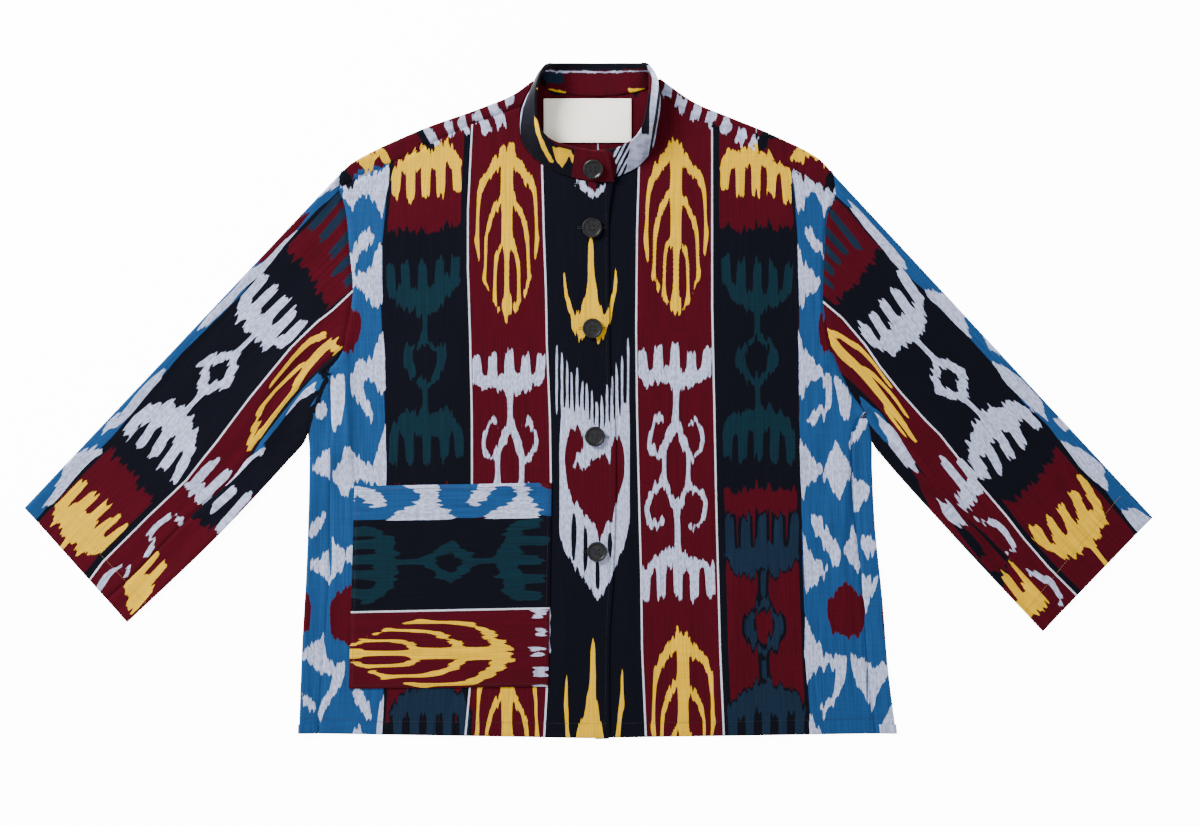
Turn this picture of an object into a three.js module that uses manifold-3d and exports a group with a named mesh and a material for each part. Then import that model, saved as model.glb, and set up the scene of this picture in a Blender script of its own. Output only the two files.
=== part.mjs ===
// Ikat jacket with a band collar, buttoned and laid flat, front up.
// Millimetres, +Z up. X runs across the jacket, from the wearer's right sleeve to the left one,
// Y runs from the hem to the collar, and Z = 0 is the surface that the jacket lies on.
// The wearer's right front laps over the left one, so the two halves are called "over" and "under".

import * as THREE from 'three';
import { mergeVertices } from 'three/addons/utils/BufferGeometryUtils.js';
import Module from 'manifold-3d';

const wasm = await Module();
wasm.setup();

// ---------------------------------------------------------------- driving sizes

const CLOTH = 1.0;          // wall of one layer of cloth
const SEAM_GAP = 0.5;       // between two pieces that are sewn together
const LAY_GAP = 0.4;        // between a piece and what lies on it
const FOLD_RADIUS = 2.0;    // middle of the wall, where cloth turns over at a side, shoulder or sleeve
const TOP_LAYER = 2.6;      // height of the middle of the upper layer, away from the folds
const FOLD_EASE = 16;       // how far from a fold the upper layer takes to settle
// the over front laps the under one: that one's hidden edge, the extra height and its slope's width
const LAP = { edge: -13, rise: 1.5, ease: 45 };
// extra height of the over front where its collar end crosses the other one
const NECK_LIFT = { x: 6, y: 218, height: 1.8, reach: 60 };
const HEM = { side: -332.5, drop: 4.5, reach: 290, backShorter: 1.5 };
const COLLAR = { thick: 2.4, height: 32, bulge: 1.4, endRadius: 9, along: 66, across: 4 };
const LABEL = { left: -44, right: 43, low: 258, high: 301.5, corner: 4 };
const BUTTON = {
  radius: 10, thick: 3.2, sides: 20, rim: 1.6, dish: 1.0, dishSlope: 1.2,
  undercut: { in: 1.2, up: 1.1 }, topRound: 0.7,
};
const BUTTON_HOLES = { radius: 1.0, spread: 2.0, sides: 8 };
const SIDE_STEPS = 12;      // steps of the grids: up the sides,
const ARM_STEPS = 8;        // up the armholes,
const SHOULDER_STEPS = 9;   // along the shoulder seams,
const NECK_STEPS = 8;       // along the back neckline,
const NECKLINE_STEPS = 6;   // along a front neckline,
const SLEEVE_STEPS = 20;    // along a sleeve,
const FOLD_STEPS = 4;       // round a fold
const WRAP_STEPS = 3;       // and from there to the seam
const POCKET_STEPS = 11;    // across and up the pocket
const FOLD_LINE_STEPS = 24; // along a fold where heights are worked out
const ARMHOLE_READINGS = 400;
const EVENING_PASSES = 600; // of the grids' inner points
const SLOPE_STEP = 2;       // either side of a place, where a front's slope is read
const COLLAR_STEP = 0.01;   // the same along the collar, as a share of it
const BOTTOM_LAYER = CLOTH / 2;
const FOLD_TOP = BOTTOM_LAYER + 2 * FOLD_RADIUS;

// ---------------------------------------------------------------- cut of the two halves
// Each table runs upwards or outwards along one line of the jacket as it lies.

const HALVES = {
  over: {
    // side fold (edge) and side seam, which lies on the front because the back wraps round
    side: [
      { y: -332.5, edge: -289, seam: -270 },
      { y: -250.5, edge: -286, seam: -264 },
      { y: -159.5, edge: -281, seam: -258 },
      { y: -49.5, edge: -275, seam: -257 },
      { y: -25.5, edge: -273.5, seam: -257 },
      { y: -2.5, edge: -268, seam: -257 },
      { y: 25, edge: -260, seam: -256 },
    ],
    // from the shoulder fold down the front to the underarm
    armhole: [
      { x: -248, y: 226.5 },
      { x: -249, y: 212.5 },
      { x: -243, y: 193.5 },
      { x: -238, y: 145.5 },
      { x: -235, y: 110.5 },
      { x: -241, y: 70.5 },
      { x: -246, y: 47.5 },
      { x: -254, y: 36.5 },
      { x: -262.5, y: 29 },
    ],
    // shoulder fold and the shoulder seam below it, from the armhole to the neck
    shoulder: [
      { foldX: -248, foldY: 226.5, seamX: -249, seamY: 212.5 },
      { foldX: -234, foldY: 238.5, seamX: -236, seamY: 218.5 },
      { foldX: -167, foldY: 270.5, seamX: -180, seamY: 245 },
      { foldX: -110, foldY: 291, seamX: -119, seamY: 274.5 },
      { foldX: -75, foldY: 305.5, seamX: -88, seamY: 286 },
      { foldX: -54, foldY: 320.5, seamX: -68, seamY: 293.5 },
    ],
    // front edge, then the neckline up to the shoulder seam
    placket: [{ x: 21, y: -336.7 }, { x: 21, y: -238.5 }, { x: 25, y: -173.5 }, { x: 27, y: -31.5 },
      { x: 22, y: 27.5 }, { x: 21, y: 106.5 }, { x: 21, y: 186.5 }, { x: 25, y: 217 }],
    neckline: [{ x: 25, y: 217 }, { x: 2, y: 218 }, { x: -22, y: 223.5 }, { x: -43, y: 233.5 },
      { x: -58, y: 245.5 }, { x: -67, y: 260.5 }, { x: -69, y: 275.5 }, { x: -68, y: 293.5 }],
    sleeveUnder: [{ x: -262.5, y: 29 }, { x: -271.5, y: -2.5 }, { x: -278, y: -25.5 },
      { x: -283, y: -41 }, { x: -299, y: -59.5 }, { x: -374, y: -139.5 }, { x: -460, y: -221.5 }],
    cuffTop: { x: -563, y: -107 },
  },
  under: {
    side: [
      { y: -332.5, edge: 308, seam: 288 },
      { y: -268.5, edge: 300, seam: 280 },
      { y: -195.5, edge: 294, seam: 275 },
      { y: -127.5, edge: 287, seam: 268 },
      { y: -68.5, edge: 282.5, seam: 264 },
      { y: -38, edge: 279.5, seam: 264 },
      { y: -18, edge: 275, seam: 270 },
    ],
    armhole: [
      { x: 245, y: 226.5 },
      { x: 248, y: 204.5 },
      { x: 240, y: 187.5 },
      { x: 236, y: 138.5 },
      { x: 235, y: 99.5 },
      { x: 238, y: 78.5 },
      { x: 246, y: 44.5 },
      { x: 264, y: 6 },
      { x: 278.5, y: -13.5 },
    ],
    shoulder: [
      { foldX: 245, foldY: 226.5, seamX: 248, seamY: 204.5 },
      { foldX: 230, foldY: 242, seamX: 237, seamY: 212.5 },
      { foldX: 182, foldY: 266.5, seamX: 190, seamY: 238 },
      { foldX: 143, foldY: 282.5, seamX: 152, seamY: 258 },
      { foldX: 106, foldY: 298, seamX: 113, seamY: 279 },
      { foldX: 71, foldY: 322.5, seamX: 74, seamY: 304 },
    ],
    placket: [{ x: LAP.edge, y: -336.8 }, { x: LAP.edge, y: 0 }, { x: LAP.edge, y: 217.5 }],
    neckline: [{ x: LAP.edge, y: 217.5 }, { x: 12, y: 218.5 }, { x: 30, y: 223 }, { x: 48, y: 231.5 },
      { x: 60, y: 242.5 }, { x: 67, y: 255.5 }, { x: 70, y: 272.5 }, { x: 73, y: 290.5 },
      { x: 74, y: 304 }],
    sleeveUnder: [{ x: 278.5, y: -13.5 }, { x: 282.5, y: -32 }, { x: 286, y: -44 },
      { x: 297, y: -59.5 }, { x: 369, y: -139.5 }, { x: 454, y: -230.5 }],
    cuffTop: { x: 564, y: -116.5 },
  },
};

// back neckline, from the over neck point to the under one
const BACK_NECK = [{ x: -54, y: 320.5 }, { x: -43, y: 311 }, { x: -18, y: 305.5 }, { x: 8, y: 303.5 },
  { x: 34, y: 305.5 }, { x: 60, y: 311.5 }, { x: 71, y: 322.5 }];

// Band collar, from the over end round the back to the under end: the edge that is sewn to the
// neckline, and the free top edge. It lies back behind the neck and leans in at the front.
const COLLAR_STATIONS = [
  { seam: [25, 219, 5.9], top: [21, 247, 15.0] },
  { seam: [2, 220, 5.9], top: [4, 248, 15.6] },
  { seam: [-21, 225.5, 5.5], top: [-17, 252, 18] },
  { seam: [-41.8, 235.3, 4.8], top: [-35, 257.5, 22] },
  { seam: [-56.3, 247, 4.0], top: [-46, 266.5, 25] },
  { seam: [-65, 261, 3.4], top: [-51, 279.5, 25] },
  { seam: [-66.8, 275.5, 3.2], top: [-52, 294.5, 25] },
  { seam: [-65, 292, 3.2], top: [-51, 308.5, 26] },
  { seam: [-58, 306.2, 3.4], top: [-48, 321, 27] },
  { seam: [-49.4, 322.8, 3.4], top: [-41.5, 332.5, 24] },
  { seam: [-41.5, 313, 1.7], top: [-32, 334.5, 15] },
  { seam: [-18, 307.3, 1.3], top: [-14, 335.5, 7] },
  { seam: [8, 305.3, 1.3], top: [8, 335.7, 3] },
  { seam: [34, 307.3, 1.3], top: [31, 335.5, 7] },
  { seam: [58.5, 313.5, 1.7], top: [49, 334.5, 15] },
  { seam: [67.2, 323.4, 3.4], top: [59.5, 333, 24] },
  { seam: [71.2, 305.8, 3.4], top: [61.5, 320.5, 27] },
  { seam: [71, 290.5, 3.2], top: [61, 304.5, 26] },
  { seam: [68, 273, 3.2], top: [59, 288.5, 26] },
  { seam: [65, 256.3, 3.2], top: [55, 272.5, 25] },
  { seam: [58.5, 244, 3.2], top: [48, 261.5, 23] },
  { seam: [47, 233.3, 3.1], top: [38, 254.5, 18.5] },
  { seam: [29.6, 225, 2.9], top: [25, 249.5, 13.2] },
  { seam: [12, 220.5, 2.7], top: [10, 248.5, 12.2] },
  { seam: [-11, 220, 2.7], top: [-9, 248, 12.0] },
];

// Patch pocket, its corners as it lies on the over front
const POCKET = {
  topOuter: { x: -233, y: -86 }, topInner: { x: -36.5, y: -82.5 },
  lowInner: { x: -40, y: -285.5 }, lowOuter: { x: -238.5, y: -287.5 },
};
const POCKET_CLEAR = 0.2;   // added to the pocket's gap, for the front's curves between its points

// Buttons: one on the collar's over end, by shares along and up the band, four down the front edge
const COLLAR_BUTTON = { name: 'button_1', along: 0.037, up: 0.42 };
const BUTTON_PLACES = [
  { name: 'button_2', x: 4, y: 172.5 },
  { name: 'button_3', x: 4.6, y: 72 },
  { name: 'button_4', x: 7, y: -36 },
  { name: 'button_5', x: 9, y: -151 },
];

// Largest soft folds of the upper layer, each a ridge or a trough along a straight line
const FOLDS = [
  { from: [-246, 60], to: [-246, -50], height: 2.4, width: 10 },
  { from: [-285, 60], to: [-400, -70], height: 1.8, width: 18 },
  { from: [262, -20], to: [243, -120], height: 2.2, width: 13 },
  { from: [300, 60], to: [420, -80], height: 1.8, width: 18 },
  { from: [-150, 80], to: [-130, -20], height: 1.2, width: 26 },
  { from: [150, 90], to: [120, -110], height: 1.4, width: 28 },
  { from: [150, -322], to: [140, -190], height: 1.8, width: 20 },
];

// ---------------------------------------------------------------- lines and heights

const flat = (row) => new THREE.Vector2(row.x, row.y);

/** A line through the rows, read by its share of the length from 0 to 1. */
function smoothLine(rows) {
  const points = rows.map((row) => new THREE.Vector3(row.x, row.y, 0));
  const curve = new THREE.CatmullRomCurve3(points, false, 'centripetal');
  return (share) => {
    const point = curve.getPointAt(THREE.MathUtils.clamp(share, 0, 1));
    return new THREE.Vector2(point.x, point.y);
  };
}

const samples = (line, count) => Array.from({ length: count + 1 }, (_, k) => line(k / count));

function distanceToSegment(x, y, ax, ay, bx, by) {
  const dx = bx - ax;
  const dy = by - ay;
  const share = THREE.MathUtils.clamp(((x - ax) * dx + (y - ay) * dy) / (dx * dx + dy * dy), 0, 1);
  return Math.hypot(x - ax - share * dx, y - ay - share * dy);
}

const sideEdge = (half) => smoothLine(HALVES[half].side.map((row) => ({ x: row.edge, y: row.y })));
const sideSeam = (half) => smoothLine(HALVES[half].side.map((row) => ({ x: row.seam, y: row.y })));
const armhole = (half) => smoothLine(HALVES[half].armhole);
const shoulderFold = (half) =>
  smoothLine(HALVES[half].shoulder.map((row) => ({ x: row.foldX, y: row.foldY })));
const shoulderSeam = (half) =>
  smoothLine(HALVES[half].shoulder.map((row) => ({ x: row.seamX, y: row.seamY })));
const sleeveTop = (half) => smoothLine([HALVES[half].armhole[0], HALVES[half].cuffTop]);
const sleeveUnder = (half) => smoothLine(HALVES[half].sleeveUnder);

const foldSegments = Object.keys(HALVES).flatMap((half) =>
  [sideEdge, shoulderFold, sleeveTop, sleeveUnder].flatMap((makeLine) => {
    const points = samples(makeLine(half), FOLD_LINE_STEPS);
    return points.slice(1).map((point, k) => [points[k].x, points[k].y, point.x, point.y]);
  }));

const distanceToFold = (x, y) =>
  Math.min(...foldSegments.map((segment) => distanceToSegment(x, y, ...segment)));

/** Height of the middle of the upper layer: full at a fold, settling away from it, with the folds. */
function upperHeight(x, y) {
  const away = (distanceToFold(x, y) - FOLD_RADIUS) / FOLD_EASE;
  const settled = THREE.MathUtils.smoothstep(away, 0, 1);
  const folds = FOLDS.reduce((sum, fold) => {
    const off = distanceToSegment(x, y, ...fold.from, ...fold.to) / fold.width;
    return sum + fold.height * Math.exp(-off * off);
  }, 0);
  return THREE.MathUtils.lerp(FOLD_TOP, TOP_LAYER + folds, settled);
}

function overFrontHeight(x, y) {
  const lap = THREE.MathUtils.smoothstep(x, LAP.edge - LAP.ease, LAP.edge);
  const away = Math.hypot(x - NECK_LIFT.x, y - NECK_LIFT.y);
  const collarLap = 1 - THREE.MathUtils.smoothstep(away, 0, NECK_LIFT.reach);
  return upperHeight(x, y) + LAP.rise * lap + NECK_LIFT.height * collarLap;
}

const hemHeight = (x) => HEM.side - HEM.drop * Math.max(0, 1 - Math.abs(x) / HEM.reach);

// ---------------------------------------------------------------- cloth walls

/** Share of the way along a row of points at each of them. */
function runShares(points) {
  const run = points.map((point, k) => (k ? point.distanceTo(points[k - 1]) : 0));
  const whole = run.reduce((sum, step) => sum + step, 0);
  let gone = 0;
  return run.map((step) => (gone += step) / whole);
}

/** Grid of points inside four boundary rows of points (a Coons patch): left and right run up. */
function patchGrid({ left, right, low, high }) {
  const lowShares = runShares(low);
  const highShares = runShares(high);
  const leftShares = runShares(left);
  const rightShares = runShares(right);
  const grid = left.map((_, j) => low.map((__, i) => {
    const t = (leftShares[j] + rightShares[j]) / 2;
    const s = THREE.MathUtils.lerp(lowShares[i], highShares[i], t);
    const across = left[j].clone().lerp(right[j], s);
    const along = low[i].clone().lerp(high[i], t);
    const lowCorners = low[0].clone().lerp(low.at(-1), s);
    const highCorners = high[0].clone().lerp(high.at(-1), s);
    return across.add(along).sub(lowCorners.lerp(highCorners, t));
  }));
  return evenedOut(grid);
}

/** Moves every inner point of a grid to the middle of its four neighbours, again and again. */
function evenedOut(grid) {
  for (let pass = 0; pass < EVENING_PASSES; pass += 1) {
    for (let j = 1; j < grid.length - 1; j += 1) {
      for (let i = 1; i < grid[j].length - 1; i += 1) {
        grid[j][i].set(0, 0).add(grid[j - 1][i]).add(grid[j + 1][i])
          .add(grid[j][i - 1]).add(grid[j][i + 1]).multiplyScalar(0.25);
      }
    }
  }
  return grid;
}

/**
 * Closed wall over a grid of middle points. rows[j][i] is a point or null, a cell is built where
 * its four points are there, and every free edge is trimmed back.
 */
function clothWall(rows, { thick = CLOTH, ring = false, trim = SEAM_GAP / 2 } = {}) {
  const width = rows[0].length;
  const cellsAcross = ring ? width : width - 1;
  const id = (i, j) => j * width + (i % width);
  const middle = rows.flat();
  const cells = [];
  for (let j = 0; j < rows.length - 1; j += 1) {
    for (let i = 0; i < cellsAcross; i += 1) {
      const corners = [id(i, j), id(i + 1, j), id(i + 1, j + 1), id(i, j + 1)];
      if (corners.every((corner) => middle[corner])) cells.push(corners);
    }
  }
  const normals = new Map();
  const shorter = ([a, b, c, d]) => middle[a].distanceTo(middle[c]) <= middle[b].distanceTo(middle[d]);
  const triangles = cells.flatMap((cell) => {
    const [a, b, c, d] = cell;
    return shorter(cell) ? [[a, b, c], [a, c, d]] : [[a, b, d], [b, c, d]];
  });
  for (const [a, b, c] of triangles) {
    const ab = new THREE.Vector3().subVectors(middle[b], middle[a]);
    const normal = new THREE.Vector3().subVectors(middle[c], middle[a]).cross(ab).negate();
    for (const corner of [a, b, c]) {
      if (!normals.has(corner)) normals.set(corner, new THREE.Vector3());
      normals.get(corner).add(normal);
    }
  }
  for (const normal of normals.values()) normal.normalize();

  const edges = new Set(cells.flatMap((cell) => cell.map((a, k) => `${a}_${cell[(k + 1) % 4]}`)));
  const freeEdges = [...edges].map((edge) => edge.split('_').map(Number))
    .filter(([a, b]) => !edges.has(`${b}_${a}`));
  const inward = new Map();
  for (const [a, b] of freeEdges) {
    const along = new THREE.Vector3().subVectors(middle[b], middle[a]).normalize();
    for (const corner of [a, b]) {
      const into = new THREE.Vector3().crossVectors(normals.get(corner), along);
      if (!inward.has(corner)) inward.set(corner, new THREE.Vector3());
      inward.get(corner).add(into);
    }
  }
  const place = (corner, side) => {
    const point = middle[corner].clone().addScaledVector(normals.get(corner), (side * thick) / 2);
    const into = inward.get(corner);
    return into ? point.addScaledVector(into, (trim * 2) / into.lengthSq()) : point;
  };

  const order = [...normals.keys()];
  const upper = new Map(order.map((corner, k) => [corner, k]));
  const lower = new Map(order.map((corner, k) => [corner, k + order.length]));
  const positions = [...order.map((corner) => place(corner, 1)), ...order.map((corner) => place(corner, -1))];
  const faces = triangles.flatMap(([a, b, c]) => [
    upper.get(a), upper.get(b), upper.get(c), lower.get(a), lower.get(c), lower.get(b)]);
  for (const [a, b] of freeEdges) {
    faces.push(upper.get(b), upper.get(a), lower.get(a), upper.get(b), lower.get(a), lower.get(b));
  }
  const geometry = new THREE.BufferGeometry().setFromPoints(positions);
  geometry.setIndex(faces);
  return geometry;
}

/** Points of a turned fold at the edge, from the bottom layer round to the upper one. */
function foldArc(edge, into) {
  const centre = edge.clone().addScaledVector(into, FOLD_RADIUS);
  return Array.from({ length: FOLD_STEPS + 1 }, (_, k) => {
    const angle = (Math.PI * k) / FOLD_STEPS;
    const out = centre.clone().addScaledVector(into, -FOLD_RADIUS * Math.sin(angle));
    return new THREE.Vector3(out.x, out.y, BOTTOM_LAYER + FOLD_RADIUS * (1 - Math.cos(angle)));
  });
}

const direction = (from, to) => new THREE.Vector2().subVectors(to, from).normalize();
const settledPoint = (edge, seam) => edge.clone().addScaledVector(direction(edge, seam), FOLD_RADIUS);

/** Points from the end of the bottom layer round a fold and over the upper layer to the seam. */
function wrapColumn(edge, seam) {
  const start = settledPoint(edge, seam);
  const strip = Array.from({ length: WRAP_STEPS }, (_, k) => {
    const point = start.clone().lerp(seam, (k + 1) / WRAP_STEPS);
    return new THREE.Vector3(point.x, point.y, upperHeight(point.x, point.y));
  });
  return [...foldArc(edge, direction(edge, seam)).slice(1), ...strip];
}

/**
 * Stops along an armhole that the front, the back and the sleeve share: the end of the shoulder
 * fold's turn, the shoulder seam, then even steps down to the turn at the underarm.
 */
function armholeStops(half) {
  const line = armhole(half);
  const points = samples(line, ARMHOLE_READINGS);
  const length = points.slice(1).reduce((sum, point, k) => sum + point.distanceTo(points[k]), 0);
  const turn = FOLD_RADIUS / length;
  const seamEnd = flat(HALVES[half].armhole[1]);
  const nearest = points.reduce((best, point, k) =>
    (point.distanceTo(seamEnd) < points[best].distanceTo(seamEnd) ? k : best), 0);
  const seamShare = nearest / ARMHOLE_READINGS;
  const shares = [turn, ...Array.from({ length: ARM_STEPS + 1 }, (_, k) =>
    THREE.MathUtils.lerp(seamShare, 1 - turn, k / ARM_STEPS))];
  return { shares, points: shares.map(line) };
}

// ---------------------------------------------------------------- pieces

/** Back: the layer that rests on the surface, wrapped round both sides and over both shoulders. */
function backGeometry() {
  const settled = (edges, seams) => edges.map((edge, k) => settledPoint(edge, seams[k]));
  const cut = (half) => ({
    edges: samples(sideEdge(half), SIDE_STEPS),
    seams: samples(sideSeam(half), SIDE_STEPS),
    folds: samples(shoulderFold(half), SHOULDER_STEPS),
    shoulderSeams: samples(shoulderSeam(half), SHOULDER_STEPS),
  });
  const over = cut('over');
  const under = cut('under');
  const side = (half, { edges, seams, folds, shoulderSeams }) => [
    ...settled(edges, seams),
    ...armholeStops(half).points.slice(1).reverse(),
    settledPoint(folds[0], shoulderSeams[0]),
  ];
  const left = side('over', over);
  const right = side('under', under);
  const overShoulder = settled(over.folds, over.shoulderSeams);
  const underShoulder = settled(under.folds, under.shoulderSeams).reverse();
  const neck = samples(smoothLine([overShoulder.at(-1), ...BACK_NECK.slice(1, -1), underShoulder[0]]),
    NECK_STEPS);
  const high = [...overShoulder, ...neck.slice(1, -1), ...underShoulder];
  const low = high.map((point) => {
    const share = (point.x - high[0].x) / (high.at(-1).x - high[0].x);
    const x = THREE.MathUtils.lerp(left[0].x, right[0].x, share);
    return new THREE.Vector2(x, HEM.side + HEM.backShorter);
  });
  const layer = patchGrid({ left, right, low, high })
    .map((row) => row.map((point) => new THREE.Vector3(point.x, point.y, BOTTOM_LAYER)));
  const turn = FOLD_STEPS + WRAP_STEPS;
  const nothing = (count) => Array(count).fill(null);
  const sideWrap = ({ edges, seams }, j) =>
    (j <= SIDE_STEPS ? wrapColumn(edges[j], seams[j]) : nothing(turn));
  const rows = layer.map((row, j) => [...sideWrap(over, j).reverse(), ...row, ...sideWrap(under, j)]);
  const shoulderWraps = ({ folds, shoulderSeams }) =>
    folds.map((fold, k) => wrapColumn(fold, shoulderSeams[k]));
  const overWraps = shoulderWraps(over);
  const underWraps = shoulderWraps(under).reverse();
  for (let k = 0; k < turn; k += 1) {
    rows.push([
      ...nothing(turn), ...overWraps.map((column) => column[k]),
      ...nothing(NECK_STEPS - 1), ...underWraps.map((column) => column[k]), ...nothing(turn),
    ]);
  }
  return clothWall(rows);
}

/** A front: from the side seam and armhole to the front edge and neckline. */
function frontGrid(half, height) {
  const { placket, neckline } = HALVES[half];
  const outer = [...samples(sideSeam(half), SIDE_STEPS), ...armholeStops(half).points.slice(1).reverse()];
  const edgeSteps = outer.length - 1 - NECKLINE_STEPS;
  const inner = [...samples(smoothLine(placket), edgeSteps),
    ...samples(smoothLine(neckline), NECKLINE_STEPS).slice(1)];
  const high = samples(shoulderSeam(half), SHOULDER_STEPS);
  const low = high.map((_, k) => {
    const x = THREE.MathUtils.lerp(outer[0].x, inner[0].x, k / SHOULDER_STEPS);
    return new THREE.Vector2(x, hemHeight(x));
  });
  return patchGrid({ left: outer, right: inner, low, high })
    .map((row) => row.map((point) => new THREE.Vector3(point.x, point.y, height(point.x, point.y))));
}

/** A sleeve: one flattened tube from the armhole to the cuff, open at both ends. */
function sleeveGeometry(half) {
  const { cuffTop, sleeveUnder: underRows } = HALVES[half];
  const { shares, points } = armholeStops(half);
  const upperEdges = samples(sleeveTop(half), SLEEVE_STEPS);
  const lowerEdges = samples(sleeveUnder(half), SLEEVE_STEPS);
  const runsIn = (edges, stop, across) => edges.map((edge, j) => {
    if (j === 0) return direction(edge, stop);
    const run = direction(edges[j - 1], edges[Math.min(SLEEVE_STEPS, j + 1)]);
    const square = new THREE.Vector2(-run.y, run.x);
    return square.dot(across) > 0 ? square : square.negate();
  });
  const downAcross = direction(cuffTop, underRows.at(-1));
  const upperInto = runsIn(upperEdges, points[0], downAcross);
  const lowerInto = runsIn(lowerEdges, points.at(-1), downAcross.clone().negate());
  const inside = (edges, into) => edges.map((edge, j) => edge.clone().addScaledVector(into[j], FOLD_RADIUS));
  const left = inside(upperEdges, upperInto);
  const right = inside(lowerEdges, lowerInto);
  const cuff = shares.map((share) => {
    const part = (share - shares[0]) / (shares.at(-1) - shares[0]);
    return left.at(-1).clone().lerp(right.at(-1), part);
  });
  const grid = patchGrid({ left, right, low: points, high: cuff });
  const rows = grid.map((row, j) => {
    const middle = row.slice(1, -1);
    const topLayer = middle.map((point) =>
      new THREE.Vector3(point.x, point.y, upperHeight(point.x, point.y)));
    const bottomLayer = middle.map((point) => new THREE.Vector3(point.x, point.y, BOTTOM_LAYER));
    return [...foldArc(upperEdges[j], upperInto[j]), ...topLayer,
      ...foldArc(lowerEdges[j], lowerInto[j]).reverse(), ...bottomLayer.reverse()];
  });
  return clothWall(half === 'over' ? rows : rows.map((row) => row.reverse()), { ring: true });
}

const vectorLine = (points) => new THREE.CatmullRomCurve3(
  points.map((point) => new THREE.Vector3(...point)), false, 'centripetal');

const collarSeam = vectorLine(COLLAR_STATIONS.map((station) => station.seam));
const collarTop = vectorLine(COLLAR_STATIONS.map((station) => station.top));

/** Point on the middle of the collar band: u runs along it, v from the seam to the top edge. */
function collarPoint(u, v) {
  const low = collarSeam.getPoint(u);
  const high = collarTop.getPoint(u);
  const rise = (high.z - low.z) / COLLAR.height;
  const run = new THREE.Vector3().subVectors(collarSeam.getPoint(Math.min(1, u + COLLAR_STEP)),
    collarSeam.getPoint(Math.max(0, u - COLLAR_STEP)));
  const out = new THREE.Vector3().subVectors(high, low).cross(run).normalize();
  return low.lerp(high, v).addScaledVector(out, COLLAR.bulge * rise * Math.sin(Math.PI * v));
}

function collarGeometry() {
  const length = collarSeam.getLength();
  const { along, across, endRadius, height } = COLLAR;
  const rows = Array.from({ length: across + 1 }, (_, j) => Array.from({ length: along + 1 }, (__, i) => {
    const u = i / along;
    const fromEnd = Math.min(u, 1 - u) * length;
    const shortBy = Math.max(0, 1 - fromEnd / endRadius);
    const tallest = 1 - (endRadius * (1 - Math.sqrt(1 - shortBy * shortBy))) / height;
    return collarPoint(u, (j / across) * tallest);
  }));
  return clothWall(rows, { thick: COLLAR.thick, trim: 0 });
}

/** Patch pocket: four-sided, laid on the over front. */
function pocketGeometry() {
  const steps = POCKET_STEPS;
  const { topOuter, topInner, lowInner, lowOuter } = POCKET;
  const lift = CLOTH + LAY_GAP + POCKET_CLEAR;
  const rows = Array.from({ length: steps + 1 }, (_, j) => Array.from({ length: steps + 1 }, (__, i) => {
    const low = flat(lowOuter).lerp(flat(lowInner), i / steps);
    const point = low.lerp(flat(topOuter).lerp(flat(topInner), i / steps), j / steps);
    return raisedPoint(point.x, point.y, lift);
  }));
  return clothWall(rows, { trim: 0 });
}

/** Normal of the over front at a place. */
function overFrontNormal(x, y) {
  const riseX = overFrontHeight(x + SLOPE_STEP, y) - overFrontHeight(x - SLOPE_STEP, y);
  const riseY = overFrontHeight(x, y + SLOPE_STEP) - overFrontHeight(x, y - SLOPE_STEP);
  return new THREE.Vector3(-riseX, -riseY, 2 * SLOPE_STEP).normalize();
}

/** Place on the over front, moved out along its normal. */
function raisedPoint(x, y, lift) {
  return new THREE.Vector3(x, y, overFrontHeight(x, y)).addScaledVector(overFrontNormal(x, y), lift);
}

/** Label: a flat rectangle with rounded corners, on the inside of the back below the collar. */
function labelGeometry() {
  const { left, right, low, high, corner } = LABEL;
  const shape = new THREE.Shape();
  shape.moveTo(left + corner, low);
  shape.lineTo(right - corner, low);
  shape.absarc(right - corner, low + corner, corner, -Math.PI / 2, 0, false);
  shape.absarc(right - corner, high - corner, corner, 0, Math.PI / 2, false);
  shape.absarc(left + corner, high - corner, corner, Math.PI / 2, Math.PI, false);
  shape.absarc(left + corner, low + corner, corner, Math.PI, 1.5 * Math.PI, false);
  const geometry = new THREE.ExtrudeGeometry(shape, { depth: CLOTH, bevelEnabled: false, curveSegments: 4 });
  return geometry.translate(0, 0, CLOTH + LAY_GAP);
}

// ---------------------------------------------------------------- buttons

function toManifold(geometry) {
  const bare = geometry.clone();
  bare.deleteAttribute('normal');
  bare.deleteAttribute('uv');
  const merged = mergeVertices(bare, 1e-4);
  return new wasm.Manifold(new wasm.Mesh({
    numProp: 3,
    vertProperties: new Float32Array(merged.attributes.position.array),
    triVerts: new Uint32Array(merged.index.array),
  }));
}

function fromManifold(solid) {
  const mesh = solid.getMesh();
  const geometry = new THREE.BufferGeometry();
  geometry.setAttribute('position', new THREE.BufferAttribute(mesh.vertProperties, 3));
  geometry.setIndex(new THREE.BufferAttribute(mesh.triVerts, 1));
  return geometry;
}

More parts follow.
